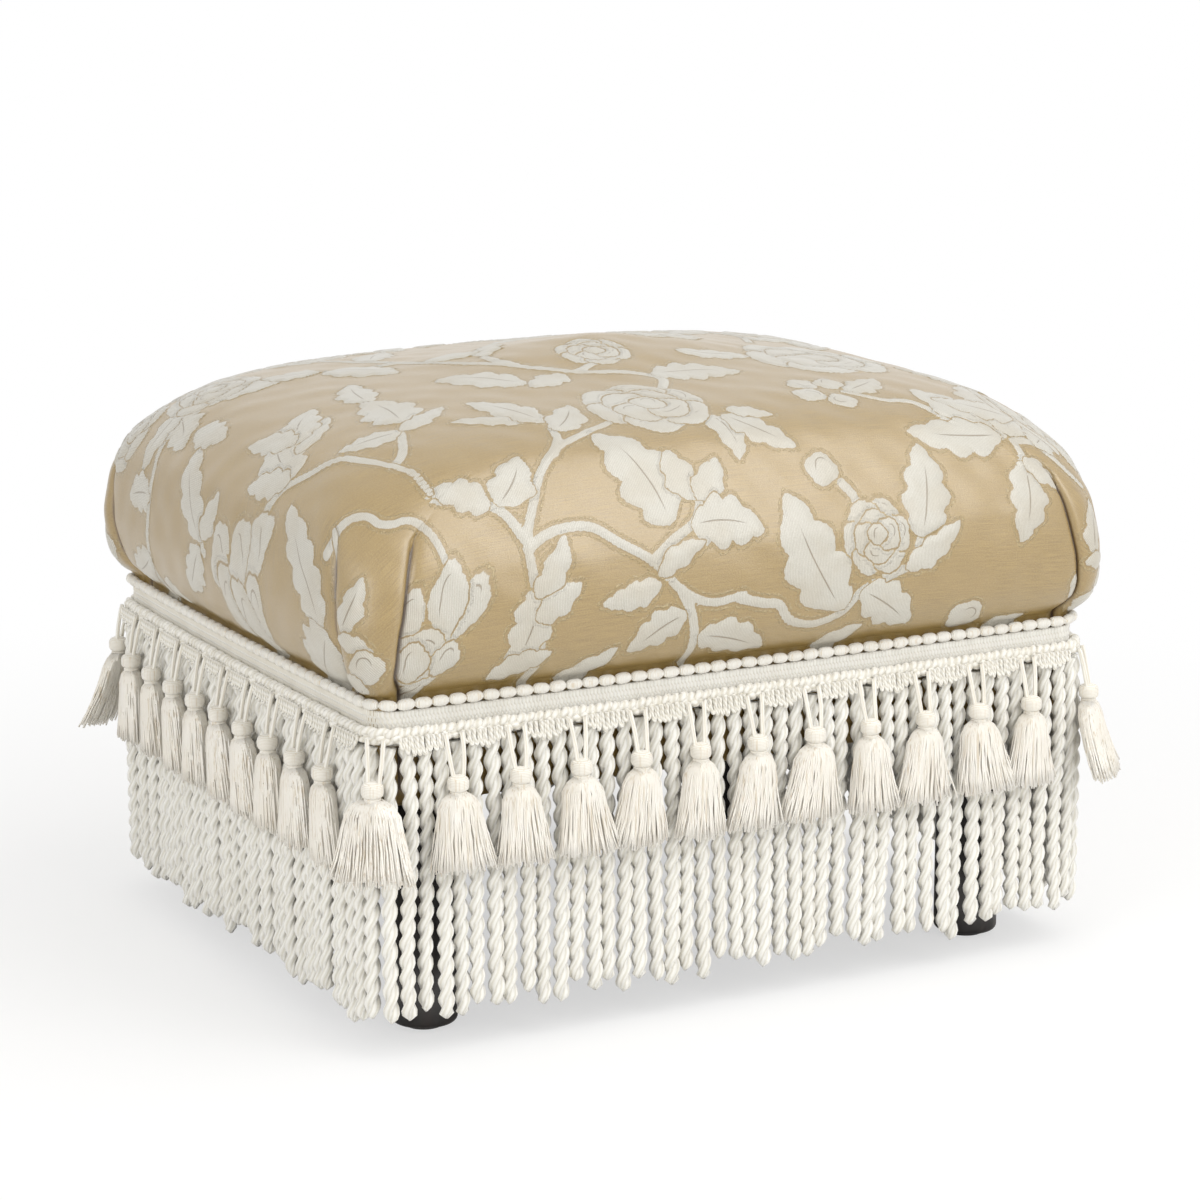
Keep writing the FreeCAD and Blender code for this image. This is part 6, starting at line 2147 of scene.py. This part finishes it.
# %% Metal and nylon finishes
zinc, tree, shader = finish("zinc_plated_steel", Metallic=1.0, Roughness=0.35)
body = add(tree, "TexCoord").outputs["Object"]
spangle = add(tree, "TexNoise", {"Vector": body, "Scale": 0.9 / MM, "Detail": 3.0}).outputs["Fac"]
colour = add(
    tree, "Mix", {0: spangle, 6: linear("#B4B6B8"), 7: linear("#9FA0A0")}, data_type="RGBA"
)
dull = add(tree, "MapRange", {"Value": spangle, "To Min": 0.25, "To Max": 0.45})
wire(tree, shader, {"Base Color": colour.outputs[2], "Roughness": dull.outputs[0]})

mould = ("TexNoise", "Fac", {"Scale": 1.5 / MM, "Detail": 2.0})
nylon = speckled("moulded_nylon", "#2A2826", "#35322F", [mould], 0.1 * MM, Roughness=0.5)
print("finishes:", len(bpy.data.materials))

# %% [markdown]
# ### The legs
# A leg is a plain turned cylinder with an eased foot, so its profile is a quarter circle and a
# straight line. Only here a hard piece is made again, because its round side would show flat faces.

# %% Legs
LEG_ROUNDING = 3.0 * MM
LEG_SIDES = 48
ROUNDING_STEPS, SIDE_STEPS = 7, 12
turn = np.linspace(0, np.pi / 2, ROUNDING_STEPS)
for name in [name for name in frame["nodes"] if name.endswith("_leg")]:
    low, high = (np.array(found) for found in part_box(name))
    radius = (high[0] - low[0]) / 2
    eased = low[2] + LEG_ROUNDING * (1 - np.cos(turn))
    rises = np.concatenate([eased, np.linspace(eased[-1], high[2], SIDE_STEPS)[1:]])
    thick = np.full(len(rises), radius)
    thick[: len(turn)] = radius - LEG_ROUNDING * (1 - np.sin(turn))
    centre = np.broadcast_to((low + high)[:2] / 2, (len(rises), 2))
    line = np.column_stack([centre, rises])[None]
    points, faces, places = swept(line, thick[:, None], LEG_SIDES, (1, 0, 0))
    leg = piece(name + "_turned", points, faces, espresso, "leg_wood", places)
    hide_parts(name)

# %% [markdown]
# ### The finishes of the hard pieces
# Every other piece of the frame gets its finish by the end of its name.

# %% Finishes of the hard pieces
NODE_FINISHES = (
    (("_glide",), nylon),
    (("front_rail", "back_rail"), pine_x),
    (("left_rail", "right_rail"), pine_y),
    (("_corner_block",), pine_z),
    (("deck_board",), birch),
    (("hanger_bolts", "flanged_nuts", "_screws", "_staples"), zinc),
)
for name, node in frame["nodes"].items():
    for endings, material in NODE_FINISHES:
        if name.endswith(endings):
            node.data.materials.clear()
            node.data.materials.append(material)
            print(name + ":", material.name)

# %% [markdown]
# ## The sheets and the trim
# Two pieces are sheets: the braid's band, sewn round the seat, and the dust cover, stapled under
# the frame. The trim that lies on the band and hangs from it is gathered in one list.

# %% Sheets and trim
HANGING = ("_tassel_cord_pairs", "_wound_heads", "_thread_skirts", "_bullion_fringe")
trim_pieces = [beads, thick_cord, scallops]
trim_pieces += [made for made in bpy.data.objects if made.name.endswith(HANGING)]

print("sheets:", band.name, dust.name)

# %% [markdown]
# ## The size
# The last measure sets the finished scene beside the solids of the frame.

# %% Size beside the solids
sizes = {"cad": cad_box, "scene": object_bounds()}
sizes = {name: [list(map(float, corner)) for corner in found] for name, found in sizes.items()}
print(sizes)
